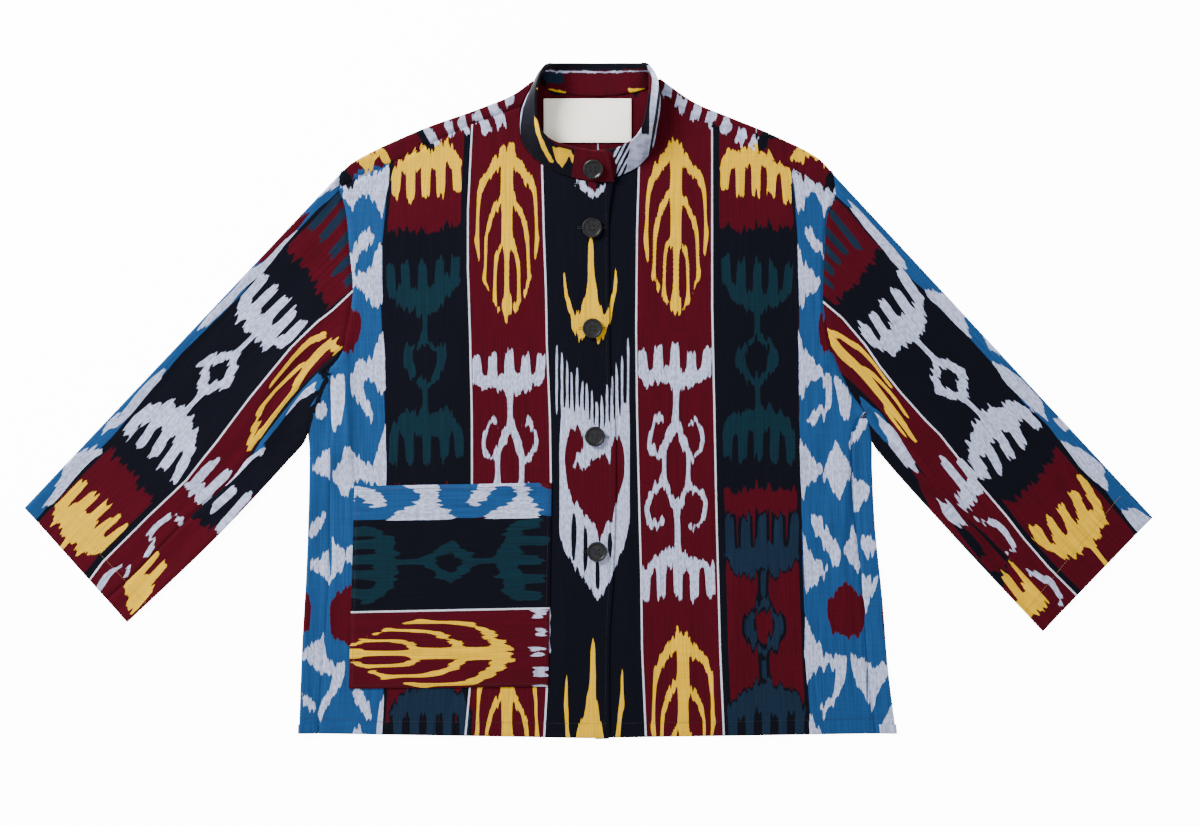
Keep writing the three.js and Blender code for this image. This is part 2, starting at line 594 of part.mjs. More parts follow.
/** Four-hole button with a raised rim, its axis along Z and its underside at Z = 0. */
function buttonGeometry() {
  const { radius, thick, rim, dish, dishSlope, undercut, topRound, sides } = BUTTON;
  const profile = [
    [0, 0], [radius - undercut.in, 0], [radius, undercut.up],
    [radius, thick - topRound], [radius - topRound, thick],
    [radius - rim, thick], [radius - rim - dishSlope, thick - dish], [0, thick - dish],
  ].map(([x, y]) => new THREE.Vector2(x, y));
  const disc = new THREE.LatheGeometry(profile, sides).rotateX(Math.PI / 2);
  const hole = new THREE.CylinderGeometry(
    BUTTON_HOLES.radius, BUTTON_HOLES.radius, 3 * thick, BUTTON_HOLES.sides).rotateX(Math.PI / 2);
  let solid = toManifold(disc);
  for (const x of [-1, 1]) {
    for (const y of [-1, 1]) {
      const cutter = hole.clone().translate(x * BUTTON_HOLES.spread, y * BUTTON_HOLES.spread, 0);
      solid = solid.subtract(toManifold(cutter));
    }
  }
  return fromManifold(solid);
}

// ---------------------------------------------------------------- the jacket

const materials = {
  ikat: new THREE.MeshStandardMaterial({ color: '#5a1c2a', roughness: 0.85, metalness: 0 }),
  ikatDark: new THREE.MeshStandardMaterial({ color: '#1b1d28', roughness: 0.85, metalness: 0 }),
  ikatBlue: new THREE.MeshStandardMaterial({ color: '#2f6da3', roughness: 0.85, metalness: 0 }),
  label: new THREE.MeshStandardMaterial({ color: '#efe8dc', roughness: 0.7, metalness: 0 }),
  button: new THREE.MeshStandardMaterial({ color: '#2b2c31', roughness: 0.35, metalness: 0 }),
};

const jacket = new THREE.Group();

function add(name, geometry, material) {
  const mesh = new THREE.Mesh(geometry, material);
  mesh.name = name;
  jacket.add(mesh);
  return mesh;
}

/** A grid that runs from the under side seam inwards is turned round, so that its faces point up. */
const turned = (rows) => rows.map((row) => [...row].reverse());

add('back', backGeometry(), materials.ikat);
add('front_over', clothWall(frontGrid('over', overFrontHeight)), materials.ikat);
add('front_under', clothWall(turned(frontGrid('under', upperHeight))), materials.ikat);
add('sleeve_over', sleeveGeometry('over'), materials.ikatBlue);
add('sleeve_under', sleeveGeometry('under'), materials.ikatBlue);
add('collar', collarGeometry(), materials.ikatDark);
add('pocket', pocketGeometry(), materials.ikatDark);
add('label', labelGeometry(), materials.label);

/** Least lift that keeps a button's whole rim off the over front. */
function buttonLift(x, y, normal) {
  const seat = raisedPoint(x, y, 0);
  const rim = Array.from({ length: BUTTON.sides }, (_, k) => {
    const angle = (2 * Math.PI * k) / BUTTON.sides;
    const point = raisedPoint(x + BUTTON.radius * Math.cos(angle), y + BUTTON.radius * Math.sin(angle), 0);
    return point.sub(seat).dot(normal);
  });
  return CLOTH / 2 + LAY_GAP + Math.max(0, ...rim);
}

function seatButton(name, place, normal) {
  const mesh = add(name, buttonGeometry(), materials.button);
  mesh.quaternion.setFromUnitVectors(new THREE.Vector3(0, 0, 1), normal);
  mesh.position.copy(place);
}

/** Collar button, off the band's outer face at its over end. */
function seatCollarButton({ name, along: u, up: v }) {
  const run = collarPoint(u + COLLAR_STEP, v).sub(collarPoint(u - COLLAR_STEP, v));
  const rise = collarPoint(u, 1).sub(collarPoint(u, 0));
  const normal = rise.cross(run).normalize();
  seatButton(name, collarPoint(u, v).addScaledVector(normal, COLLAR.thick / 2 + 2 * LAY_GAP), normal);
}

seatCollarButton(COLLAR_BUTTON);
for (const { name, x, y } of BUTTON_PLACES) {
  const normal = overFrontNormal(x, y);
  seatButton(name, raisedPoint(x, y, buttonLift(x, y, normal)), normal);
}

export default jacket;
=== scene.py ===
import math

import bpy
import numpy as np
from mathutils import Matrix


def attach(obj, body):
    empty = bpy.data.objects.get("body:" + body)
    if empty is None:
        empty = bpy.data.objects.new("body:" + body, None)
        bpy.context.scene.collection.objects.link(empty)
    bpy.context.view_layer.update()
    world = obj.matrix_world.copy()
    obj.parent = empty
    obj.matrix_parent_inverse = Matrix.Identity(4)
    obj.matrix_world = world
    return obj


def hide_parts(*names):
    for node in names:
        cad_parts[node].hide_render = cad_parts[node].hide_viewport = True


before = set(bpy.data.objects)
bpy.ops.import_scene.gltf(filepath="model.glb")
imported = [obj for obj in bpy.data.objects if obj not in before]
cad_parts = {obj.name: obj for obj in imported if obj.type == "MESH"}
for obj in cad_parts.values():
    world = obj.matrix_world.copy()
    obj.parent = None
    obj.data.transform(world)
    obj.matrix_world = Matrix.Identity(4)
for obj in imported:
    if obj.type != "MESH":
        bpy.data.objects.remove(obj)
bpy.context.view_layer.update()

# Sizes are in millimetres, as the jacket's cut gives them, until a mesh is made.
MM = 0.001
CHART_CORNER = np.array([588.0, 400.5])   # the charts' own corner, seen from the jacket's origin
TINY = 1e-9

# ---------------------------------------------------------------- cut of the jacket

BOTTOM_LAYER = 0.5      # height of the lower layer of cloth
TOP_LAYER = 2.6         # height of the upper layer, where it has settled
LAYERS_PART = 1.8       # a place above this height belongs to the upper layer
FOLD_RADIUS = 2.0
FOLD_TOP = 4.5          # height of the upper layer beside a fold
FOLD_EASE = 16.0        # how far from a fold it settles
LAP_EDGE = -13.0        # the under front's edge, left of the middle line
LAP_RISE = 1.5          # lift of the over front where it laps, and how gently it rises
LAP_EASE = 45.0
NECK_LIFT = (6.0, 218.0, 1.8, 60.0)   # lift below the collar's ends: place, height and reach
HEM_SIDE = -332.5       # the hem at the sides, and its drop to the middle
HEM_DROP = 4.5
HEM_REACH = 290.0
BACK_SHORTER = 1.5

HALVES = {
    "over": {
        "side": [(-332.5, -289, -270), (-250.5, -286, -264), (-159.5, -281, -258), (-49.5, -278.5, -258),
                 (-25.5, -280, -257), (-2.5, -273.5, -257), (25, -263.5, -256)],
        "armhole": [(-248, 226.5), (-249, 212.5), (-243, 193.5), (-238, 145.5), (-235, 110.5),
                    (-241, 70.5), (-246, 47.5), (-254, 36.5), (-262.5, 29)],
        "shoulder": [(-248, 226.5, -249, 212.5), (-234, 238.5, -236, 218.5), (-167, 270.5, -180, 245),
                     (-110, 291, -119, 274.5), (-75, 305.5, -88, 286), (-54, 320.5, -68, 293.5)],
        "placket": [(21, -336.7), (21, -238.5), (25, -173.5), (27, -31.5), (22, 27.5), (21, 106.5),
                    (21, 186.5), (25, 217)],
        "neckline": [(25, 217), (2, 218), (-22, 223.5), (-43, 233.5), (-58, 245.5), (-67, 260.5),
                     (-69, 275.5), (-68, 293.5)],
        "sleeve_under": [(-262.5, 29), (-271.5, -2.5), (-278, -25.5), (-283, -41), (-299, -59.5),
                         (-374, -139.5), (-460, -221.5)],
        "cuff_top": (-563, -107),
        "sleeve_seam": [(338, 352), (310, 377), (284, 406), (254, 448), (232, 479), (203, 505),
                        (177, 530), (160, 548), (137, 572), (107, 600)],
    },
    "under": {
        "side": [(-332.5, 308, 288), (-268.5, 300, 280), (-195.5, 294, 275), (-127.5, 287, 268),
                 (-68.5, 284, 264), (-38, 283.5, 264), (-18, 280.5, 270)],
        "armhole": [(245, 226.5), (248, 204.5), (240, 187.5), (236, 138.5), (235, 99.5), (238, 78.5),
                    (246, 44.5), (264, 6), (278.5, -13.5)],
        "shoulder": [(245, 226.5, 248, 204.5), (230, 242, 237, 212.5), (182, 266.5, 190, 238),
                     (143, 282.5, 152, 258), (106, 298, 113, 279), (71, 322.5, 74, 304)],
        "placket": [(LAP_EDGE, -336.8), (LAP_EDGE, 0), (LAP_EDGE, 217.5)],
        "neckline": [(LAP_EDGE, 217.5), (12, 218.5), (30, 223), (48, 231.5), (60, 242.5), (67, 255.5),
                     (70, 272.5), (73, 290.5), (74, 304)],
        "sleeve_under": [(278.5, -13.5), (281, -32), (285, -44), (297, -59.5), (369, -139.5),
                         (454, -230.5)],
        "cuff_top": (564, -116.5),
        "sleeve_seam": [(840, 372), (859, 389), (886, 417), (919, 468), (957, 510), (988, 537),
                        (1015, 565), (1042, 594), (1062, 617)],
    },
}
BACK_NECK = [(-54, 320.5), (-49, 323), (-43, 318), (-18, 311), (8, 308.5), (34, 310.5), (60, 318), (66, 323),
             (71, 322.5)]

COLLAR_SEAM = [
    (25, 219, 5.9), (2, 220, 5.9), (-21, 225.5, 5.5), (-41.8, 235.3, 4.8), (-56.3, 247, 4.0),
    (-65, 261, 3.4), (-66.8, 275.5, 3.2), (-65, 292, 3.2), (-58, 306.2, 3.4), (-49.4, 322.8, 3.4),
    (-41.5, 313, 1.7), (-18, 307.3, 1.3), (8, 305.3, 1.3), (34, 307.3, 1.3), (58.5, 313.5, 1.7),
    (67.2, 323.4, 3.4), (71.2, 305.8, 3.4), (71, 290.5, 3.2), (68, 273, 3.2), (65, 256.3, 3.2),
    (58.5, 244, 3.2), (47, 233.3, 3.1), (29.6, 225, 2.9), (12, 220.5, 2.7), (-11, 220, 2.7)]
COLLAR_TOP = [
    (21, 247, 15.0), (4, 248, 15.6), (-17, 252, 18), (-35, 257.5, 22), (-46, 266.5, 25),
    (-51, 279.5, 25), (-52, 294.5, 25), (-51, 308.5, 26), (-48, 321, 27), (-41.5, 332.5, 24),
    (-32, 334.5, 15), (-14, 335.5, 7), (8, 335.7, 3), (31, 335.5, 7), (49, 334.5, 15),
    (59.5, 333, 24), (61.5, 320.5, 27), (61, 304.5, 26), (59, 288.5, 26), (55, 272.5, 25),
    (48, 261.5, 23), (38, 254.5, 18.5), (25, 249.5, 13.2), (10, 248.5, 12.2), (-9, 248, 12.0)]
COLLAR_THICK, COLLAR_HEIGHT, COLLAR_BULGE, COLLAR_END = 2.4, 32.0, 1.4, 9.0

POCKET = [(-233, -86), (-36.5, -82.5), (-40, -285.5), (-238.5, -287.5)]   # top, then low corners
POCKET_WIDTH, POCKET_HEIGHT = 197, 202
POCKET_LIFT, POCKET_THICK = 1.25, 0.9
POCKET_RIDGE = (0.35, 4.0, 3.0)   # along its stitched rim: height, distance from the edge and width
POCKET_EDGE_DIP = (0.45, 1.6)     # at the edge itself: depth and width
POCKET_LINE, POCKET_LINE_SLOPE = (350.0, 612.0), 0.0205   # its plain warp line, on the chart
POCKET_LINE_REACH = 60    # how far below that line the cloth map runs on
NECK_TOP = 172.0        # chart place above which the back has no plain warp lines
LABEL = (-44.0, 43.0, 258.0, 301.5)   # left, right, low and high edge
LABEL_HEIGHT, LABEL_THICK = 1.9, 0.6
LABEL_WAVE = (0.2, 9.0, 7.0)      # its waviness: height, then how fast it runs across and up
BUTTONS = {"button_2": (4, 172.5), "button_3": (4.6, 72), "button_4": (7, -36), "button_5": (9, -151)}

# Broad folds of the upper layer, one a row: from x, y, to x, y, height and width
FOLDS = [(-246, 60, -246, -50, 2.4, 10), (-285, 60, -400, -70, 1.8, 18), (262, -20, 243, -120, 2.2, 13),
         (300, 60, 420, -80, 1.8, 18), (-150, 80, -130, -20, 1.2, 26), (150, 90, 120, -110, 1.4, 28),
         (150, -322, 140, -190, 1.8, 20)]
# Soft creases in the same columns, each one tapering to nothing at its ends
CREASES = [
    (-242, 30, -236, -120, 1.3, 4), (-236, 55, -214, -60, -0.9, 7), (-252, 20, -262, -110, 1.1, 5),
    (-228, 150, -205, 60, 0.7, 9), (-225, 190, -160, 170, 0.5, 12), (-200, -20, -185, -70, 0.5, 10),
    (-120, 200, -118, 60, 0.5, 9), (-40, 190, -70, 120, 0.4, 10), (-20, -180, -30, -320, 0.8, 8),
    (-262, -140, -255, -320, 0.6, 6), (-285, -150, -278, -300, -0.6, 6), (-60, 20, -110, -60, 0.5, 14),
    (240, 60, 224, -60, 1.0, 6), (262, -40, 250, -190, 1.2, 5), (244, -60, 226, -220, -0.8, 8),
    (230, 160, 205, 80, 0.7, 10), (222, 190, 170, 175, 0.5, 12), (130, 200, 118, 60, 0.5, 12),
    (60, 190, 52, 60, 0.6, 9), (36, 150, 34, -100, 0.7, 6), (40, -120, 36, -320, 1.0, 7),
    (150, -140, 138, -320, 1.0, 12), (100, -200, 96, -330, 0.6, 10), (200, -120, 190, -250, 0.5, 14),
    (256, -150, 262, -300, 0.7, 7), (70, -20, 84, -150, 0.5, 12), (280, -120, 290, -300, 0.5, 6),
    (-258, 190, -330, 110, 0.8, 14), (-270, 150, -320, 70, -0.7, 12), (-262, 90, -330, 0, 1.2, 9),
    (-275, 60, -350, -40, -0.9, 8), (-280, 20, -340, -70, 1.0, 7), (-300, 40, -365, -60, 0.8, 7),
    (-360, 60, -430, -10, 0.6, 14), (-400, -60, -470, -140, 0.7, 10), (-430, 0, -500, -80, 0.5, 14),
    (-470, -90, -520, -150, 0.5, 9), (-320, -60, -380, -120, 0.6, 7), (-350, -20, -420, -110, 0.6, 8),
    (262, 180, 330, 110, 0.7, 14), (272, 130, 330, 60, -0.7, 12), (262, 90, 340, -10, 1.1, 9),
    (282, 60, 360, -60, -0.8, 8), (285, 20, 340, -60, 1.0, 7), (330, 20, 400, -90, 0.8, 9),
    (380, 40, 450, -50, 0.6, 14), (410, -90, 450, -170, 0.7, 10), (450, -20, 510, -100, 0.5, 14),
    (480, -110, 520, -160, 0.5, 9), (310, -50, 370, -120, 0.6, 7), (360, -60, 420, -150, 0.6, 8)]
CREASE_DEPTH = 1.5      # all the creases' heights are multiplied by this
WAVINESS = 0.22         # of cloth that lies nearly flat
SEAM_DIP, SEAM_DIP_WIDTH = 0.9, 1.5
SEAM_RIDGE, SEAM_RIDGE_OUT, SEAM_RIDGE_WIDTH = 0.3, 5.0, 3.0
PUCKER, PUCKER_LENGTH, PUCKER_REACH = 0.16, 9.0, 9.0
TURNED_DEPTH, PLACKET_DEPTH = 9.0, 14.0   # how far an edge is turned in, and the placket's facing
TURNED_DROP = 1.15                        # how far below the good side its inner edge lies
TURNED_ROWS = ((0.0, 1.05), (-0.45, 0.7), (-0.35, 0.2))   # round the turn: in from the edge, and down
CUFF_ROWS = ((0.35, 0.9, 1.0), (0.2, 0.6, 0.996), (-12.0, 0.5, 0.99))   # out, share of height and of width
ARMHOLE_SUNK, ARMHOLE_FLATTENED = 5.0, 0.7   # a sleeve's allowance under the body, and its share of height


def smooth_line(rows):
    """Reader of a line through the rows, by its share of the length from 0 to 1."""
    rows = np.asarray(rows, float)
    padded = np.vstack([2 * rows[0] - rows[1], rows, 2 * rows[-1] - rows[-2]])
    last = len(rows) - 1
    stops = np.linspace(0, 1, 201)

    def at(share):
        place = np.clip(np.atleast_1d(np.asarray(share, float)), 0, 1) * last
        i = np.minimum(place.astype(int), last - 1)
        w = (place - i)[:, None]
        a, b, c, d = (padded[i + k] for k in range(4))
        before, here, after = (np.sum((q - p) ** 2, axis=1)[:, None] ** 0.25
                               for p, q in ((a, b), (b, c), (c, d)))
        start = ((b - a) / before - (c - a) / (before + here) + (c - b) / here) * here
        end = ((c - b) / here - (d - b) / (here + after) + (d - c) / after) * here
        return b + start * w + (3 * (c - b) - 2 * start - end) * w ** 2 + (2 * (b - c) + start + end) * w ** 3

    gone = np.concatenate([[0], np.cumsum(np.linalg.norm(np.diff(at(stops), axis=0), axis=1))])

    def by_length(share):
        share = np.clip(np.atleast_1d(np.asarray(share, float)), 0, 1)
        return at(np.interp(share * gone[-1], gone, stops))

    by_length.at, by_length.length = at, gone[-1]
    return by_length


def samples(line, count):
    """Evenly spaced places along a line."""
    return line(np.linspace(0, 1, count + 1))


def joined(steps, *runs):
    """Runs of points end to end, with an even hop of so many steps wherever two ends don't meet."""
    points = runs[0]
    for run in runs[1:]:
        if np.linalg.norm(run[0] - points[-1]) > TINY:
            hop = np.linspace(0, 1, steps + 1)[1:, None]
            points = np.vstack([points, points[-1] + (run[0] - points[-1]) * hop])
        points = np.vstack([points, run[1:]])
    return points


lines = {}
for half, cut in HALVES.items():
    side = cut["side"]
    lines[half] = {
        "side_edge": smooth_line([(edge, y) for y, edge, _ in side]),
        "side_seam": smooth_line([(seam, y) for y, _, seam in side]),
        "armhole": smooth_line(cut["armhole"]),
        "shoulder_fold": smooth_line([row[:2] for row in cut["shoulder"]]),
        "shoulder_seam": smooth_line([row[2:] for row in cut["shoulder"]]),
        "sleeve_top": smooth_line([cut["armhole"][0], cut["cuff_top"]]),
        "sleeve_under": smooth_line(cut["sleeve_under"]),
        "placket": smooth_line(cut["placket"]),
        "neckline": smooth_line(cut["neckline"]),
    }
    seam = np.array(cut["sleeve_seam"], float) - CHART_CORNER
    lines[half]["sleeve_seam"] = smooth_line(seam * [1, -1])


def segments(names, count):
    """Short straight stretches of the named lines of both halves."""
    rows = []
    for half in HALVES:
        for name in names:
            points = samples(lines[half][name], count)
            rows.append(np.hstack([points[:-1], points[1:]]))
    return np.vstack(rows)


fold_segments = segments(("side_edge", "shoulder_fold", "sleeve_top", "sleeve_under"), 24)
seam_segments = segments(("side_seam", "armhole", "shoulder_seam", "sleeve_seam"), 24)


def off_segment(x, y, ax, ay, bx, by):
    """Distance from a straight line between two places, and the share of the way along it."""
    dx, dy = bx - ax, by - ay
    share = np.clip(((x - ax) * dx + (y - ay) * dy) / (dx * dx + dy * dy), 0, 1)
    return np.hypot(x - ax - share * dx, y - ay - share * dy), share


def nearest(x, y, rows):
    """Distance from the nearest of the stretches, and the run along them to that place."""
    best = np.full(np.shape(x), 1e6)
    run = np.zeros(np.shape(x))
    gone = 0.0
    for row in rows:
        off, share = off_segment(x, y, *row)
        length = math.hypot(row[2] - row[0], row[3] - row[1])
        run = np.where(off < best, gone + share * length, run)
        best = np.minimum(best, off)
        gone += length
    return best, run


def smoothstep(value):
    """Soft step from 0 to 1."""
    value = np.clip(value, 0, 1)
    return value * value * (3 - 2 * value)


def upper_height(x, y):
    """Height of the upper layer: full at a fold, settling away from it, with its folds and seams."""
    settled = smoothstep((nearest(x, y, fold_segments)[0] - FOLD_RADIUS) / FOLD_EASE)
    folds = np.zeros(np.shape(x))
    for ax, ay, bx, by, height, width in FOLDS:
        folds += height * np.exp(-(off_segment(x, y, ax, ay, bx, by)[0] / width) ** 2)
    for k, (ax, ay, bx, by, height, width) in enumerate(CREASES):
        off, share = off_segment(x, y, ax, ay, bx, by)
        uneven = 0.75 + 0.25 * np.sin(5.0 * share + 2.3 * k)
        spread = width * (0.8 + 0.5 * share)
        taper = np.sin(np.pi * share) ** 0.7
        folds += CREASE_DEPTH * height * uneven * taper * np.exp(-(off / spread) ** 2)
    folds += WAVINESS * np.sin(x / 31 + 1.3 * np.sin(y / 47)) * np.cos(y / 39 + 0.8 * np.sin(x / 53))
    height = FOLD_TOP + (TOP_LAYER + folds - FOLD_TOP) * settled
    off, run = nearest(x, y, seam_segments)
    height -= SEAM_DIP * np.exp(-(off / SEAM_DIP_WIDTH) ** 2)
    height += SEAM_RIDGE * np.exp(-((off - SEAM_RIDGE_OUT) / SEAM_RIDGE_WIDTH) ** 2)
    ripple = np.sin(2 * np.pi * run / PUCKER_LENGTH + 2.0 * np.sin(run / 23))
    return height + PUCKER * ripple * np.exp(-(off / PUCKER_REACH) ** 2)


def over_front_height(x, y):
    """Height of the over front, which rises over the under front and under the collar's ends."""
    lap = smoothstep((x - LAP_EDGE + LAP_EASE) / LAP_EASE)
    lift_x, lift_y, lift, reach = NECK_LIFT
    collar_lap = 1 - smoothstep(np.hypot(x - lift_x, y - lift_y) / reach)
    return upper_height(x, y) + LAP_RISE * lap + lift * collar_lap


# ---------------------------------------------------------------- grids of cloth

def coons(left, right, low, high):
    """Grid spanned evenly between four boundary runs."""
    t = np.linspace(0, 1, len(left))[:, None, None]
    s = np.linspace(0, 1, len(low))[None, :, None]
    across = left[:, None] * (1 - s) + right[:, None] * s
    along = low[None] * (1 - t) + high[None] * t
    corners = (low[0] * (1 - s) + low[-1] * s) * (1 - t) + (high[0] * (1 - s) + high[-1] * s) * t
    return across + along - corners


def evened(grid):
    """Grid whose every inner point is the middle of its four neighbours."""
    nj, ni = grid.shape[:2]
    inner = np.arange((nj - 2) * (ni - 2)).reshape(nj - 2, ni - 2)
    matrix = np.eye(inner.size) * 4
    known = np.zeros((inner.size, 2))
    for dj, di in ((-1, 0), (1, 0), (0, -1), (0, 1)):
        for j in range(nj - 2):
            for i in range(ni - 2):
                jj, ii = j + dj, i + di
                if 0 <= jj < nj - 2 and 0 <= ii < ni - 2:
                    matrix[inner[j, i], inner[jj, ii]] -= 1
                else:
                    known[inner[j, i]] += grid[jj + 1, ii + 1]
    result = grid.copy()
    result[1:-1, 1:-1] = np.linalg.solve(matrix, known).reshape(nj - 2, ni - 2, 2)
    return result


def finer(coarse, rows, columns):
    """The same grid read at more rows and columns."""
    nj, ni = coarse.shape[:2]
    tj, ti = np.linspace(0, nj - 1, rows), np.linspace(0, ni - 1, columns)
    j, i = np.minimum(tj.astype(int), nj - 2), np.minimum(ti.astype(int), ni - 2)
    wj, wi = (tj - j)[:, None, None], (ti - i)[None, :, None]
    low = coarse[j][:, i] * (1 - wi) + coarse[j][:, i + 1] * wi
    high = coarse[j + 1][:, i] * (1 - wi) + coarse[j + 1][:, i + 1] * wi
    return low * (1 - wj) + high * wj


def patch_grid(left, right, low, high, fine_rows, fine_columns):
    """Grid inside four boundary runs of points, evened out as the cut's coarse grid is."""
    fine = coons(left, right, low, high)
    coarse = coons(left[::fine_rows], right[::fine_rows], low[::fine_columns], high[::fine_columns])
    fine += finer(evened(coarse) - coarse, *fine.shape[:2])
    for _ in range(120):
        fine[1:-1, 1:-1] = (fine[:-2, 1:-1] + fine[2:, 1:-1] + fine[1:-1, :-2] + fine[1:-1, 2:]) / 4
    return fine


def unit(vector):
    """The same direction at length one."""
    return vector / np.maximum(np.linalg.norm(vector, axis=-1, keepdims=True), TINY)


def settled_point(edge, seam):
    """Places one fold radius in from the edge, where the fold begins."""
    return edge + unit(seam - edge) * FOLD_RADIUS


def fold_arc(edge, into, steps):
    """Columns of points round a fold, from the bottom layer to the upper one: steps + 1, n, 3."""
    angle = np.linspace(0, math.pi, steps + 1)[:, None, None]
    out = edge[None] + into[None] * FOLD_RADIUS * (1 - np.sin(angle))
    rise = BOTTOM_LAYER + FOLD_RADIUS * (1 - np.cos(angle)) + 0 * out[..., :1]
    return np.concatenate([out, rise], axis=-1)


def raised(points, height):
    """Flat places lifted to a layer's height."""
    return np.concatenate([points, height(points[..., 0], points[..., 1])[..., None]], axis=-1)


def armhole_shares(half):
    """Shares of the armhole's length at its turn and at the shoulder seam."""
    line = lines[half]["armhole"]
    readings = samples(line, ARM_READINGS)
    length = np.sum(np.linalg.norm(np.diff(readings, axis=0), axis=1))
    turn = FOLD_RADIUS / length
    corner = np.array(HALVES[half]["armhole"][1], float)
    seam_share = np.argmin(np.linalg.norm(readings - corner, axis=1)) / ARM_READINGS
    return turn, seam_share


# Steps of the cut's coarse grid along each line, and how many finer rows and columns each step has
ARM_STEPS, SIDE_STEPS, SHOULDER_STEPS, NECK_STEPS, NECKLINE_STEPS, SLEEVE_STEPS = 8, 12, 9, 8, 6, 20
PLACKET_STEPS = 15
FRONT_FINE, BACK_FINE, SLEEVE_FINE = (9, 33), (6, 14), (7, 21)
ARM_READINGS = 400
# Steps round the back's folds, in its strips, and round a sleeve's fold
FOLD_STEPS, WRAP_STEPS, SLEEVE_FOLD_STEPS = 6, 12, 8


def armhole_run(half, fine):
    """Points up the armhole, from the underarm's turn to the shoulder seam."""
    turn, seam_share = armhole_shares(half)
    return lines[half]["armhole"](np.linspace(1 - turn, seam_share, ARM_STEPS * fine + 1))


def hem_height(x):
    """Place of the fronts' hem, lowest at the middle."""
    return HEM_SIDE - HEM_DROP * np.maximum(0, 1 - np.abs(x) / HEM_REACH)


def with_close_rows(grid, gaps=(0.3, 0.55, 0.78)):
    """Extra rows just below the last one, where a seam's groove needs them."""
    extra = [grid[-2] * (1 - g) + grid[-1] * g for g in gaps]
    return np.concatenate([grid[:-1], np.array(extra), grid[-1:]])


def front_grid(half, height):
    """One front, from the side seam to the placket and from the hem to the shoulder seam."""
    rows, columns = FRONT_FINE
    outer = joined(rows, samples(lines[half]["side_seam"], SIDE_STEPS * rows), armhole_run(half, rows))
    inner = joined(rows, samples(lines[half]["placket"], PLACKET_STEPS * rows),
                   samples(lines[half]["neckline"], NECKLINE_STEPS * rows))
    high = samples(lines[half]["shoulder_seam"], SHOULDER_STEPS * columns)
    x = np.linspace(outer[0, 0], inner[0, 0], len(high))
    low = np.stack([x, hem_height(x)], axis=1)
    return raised(with_close_rows(patch_grid(outer, inner, low, high, rows, columns)), height)


def back_grid():
    """The back with its strips round the sides and over the shoulders, and its lower layer's rows."""
    rows, columns = BACK_FINE
    sides, shoulders, wraps, tops = {}, {}, {}, {}
    for half in HALVES:
        reader = lines[half]
        edges, seams = (samples(reader[name], SIDE_STEPS * rows) for name in ("side_edge", "side_seam"))
        folds, tops_seams = (samples(reader[name], SHOULDER_STEPS * columns)
                             for name in ("shoulder_fold", "shoulder_seam"))
        settled = settled_point(edges, seams)
        shoulders[half] = settled_point(folds, tops_seams)
        sides[half] = joined(rows, settled, armhole_run(half, rows), shoulders[half][:1])
        for store, edge, seam in ((wraps, edges, seams), (tops, folds, tops_seams)):
            arc = fold_arc(edge, unit(seam - edge), FOLD_STEPS)[1:]
            share = (np.linspace(0, 1, WRAP_STEPS + 1)[1:] ** 0.9)[:, None, None]
            start = settled_point(edge, seam)
            strip = raised(start[None] * (1 - share) + seam[None] * share, upper_height)
            store[half] = np.concatenate([arc, strip])
    over, under = shoulders["over"], shoulders["under"][::-1]
    neck = samples(smooth_line(np.vstack([over[-1:], BACK_NECK[1:-1], under[:1]])), NECK_STEPS * columns)
    high = np.vstack([over, neck[1:-1], under])
    share = (high[:, 0] - high[0, 0]) / (high[-1, 0] - high[0, 0])
    left, right = sides["over"], sides["under"]
    low = np.stack([left[0, 0] + (right[0, 0] - left[0, 0]) * share,
                    np.full(len(high), HEM_SIDE + BACK_SHORTER)], axis=1)
    layer = patch_grid(left, right, low, high, rows, columns)
    layer = np.concatenate([layer, np.full(layer.shape[:2] + (1,), BOTTOM_LAYER)], axis=-1)
    width = FOLD_STEPS + WRAP_STEPS
    side_rows = SIDE_STEPS * rows + 1
    grid = np.full((len(layer) + width, layer.shape[1] + 2 * width, 3), np.nan)
    grid[:len(layer), width:-width] = layer
    grid[:side_rows, :width] = np.swapaxes(wraps["over"], 0, 1)[:, ::-1]
    grid[:side_rows, -width:] = np.swapaxes(wraps["under"], 0, 1)
    count = SHOULDER_STEPS * columns + 1
    grid[len(layer):, width:width + count] = tops["over"]
    grid[len(layer):, -width - count:-width] = tops["under"][:, ::-1]
    return grid, len(layer)


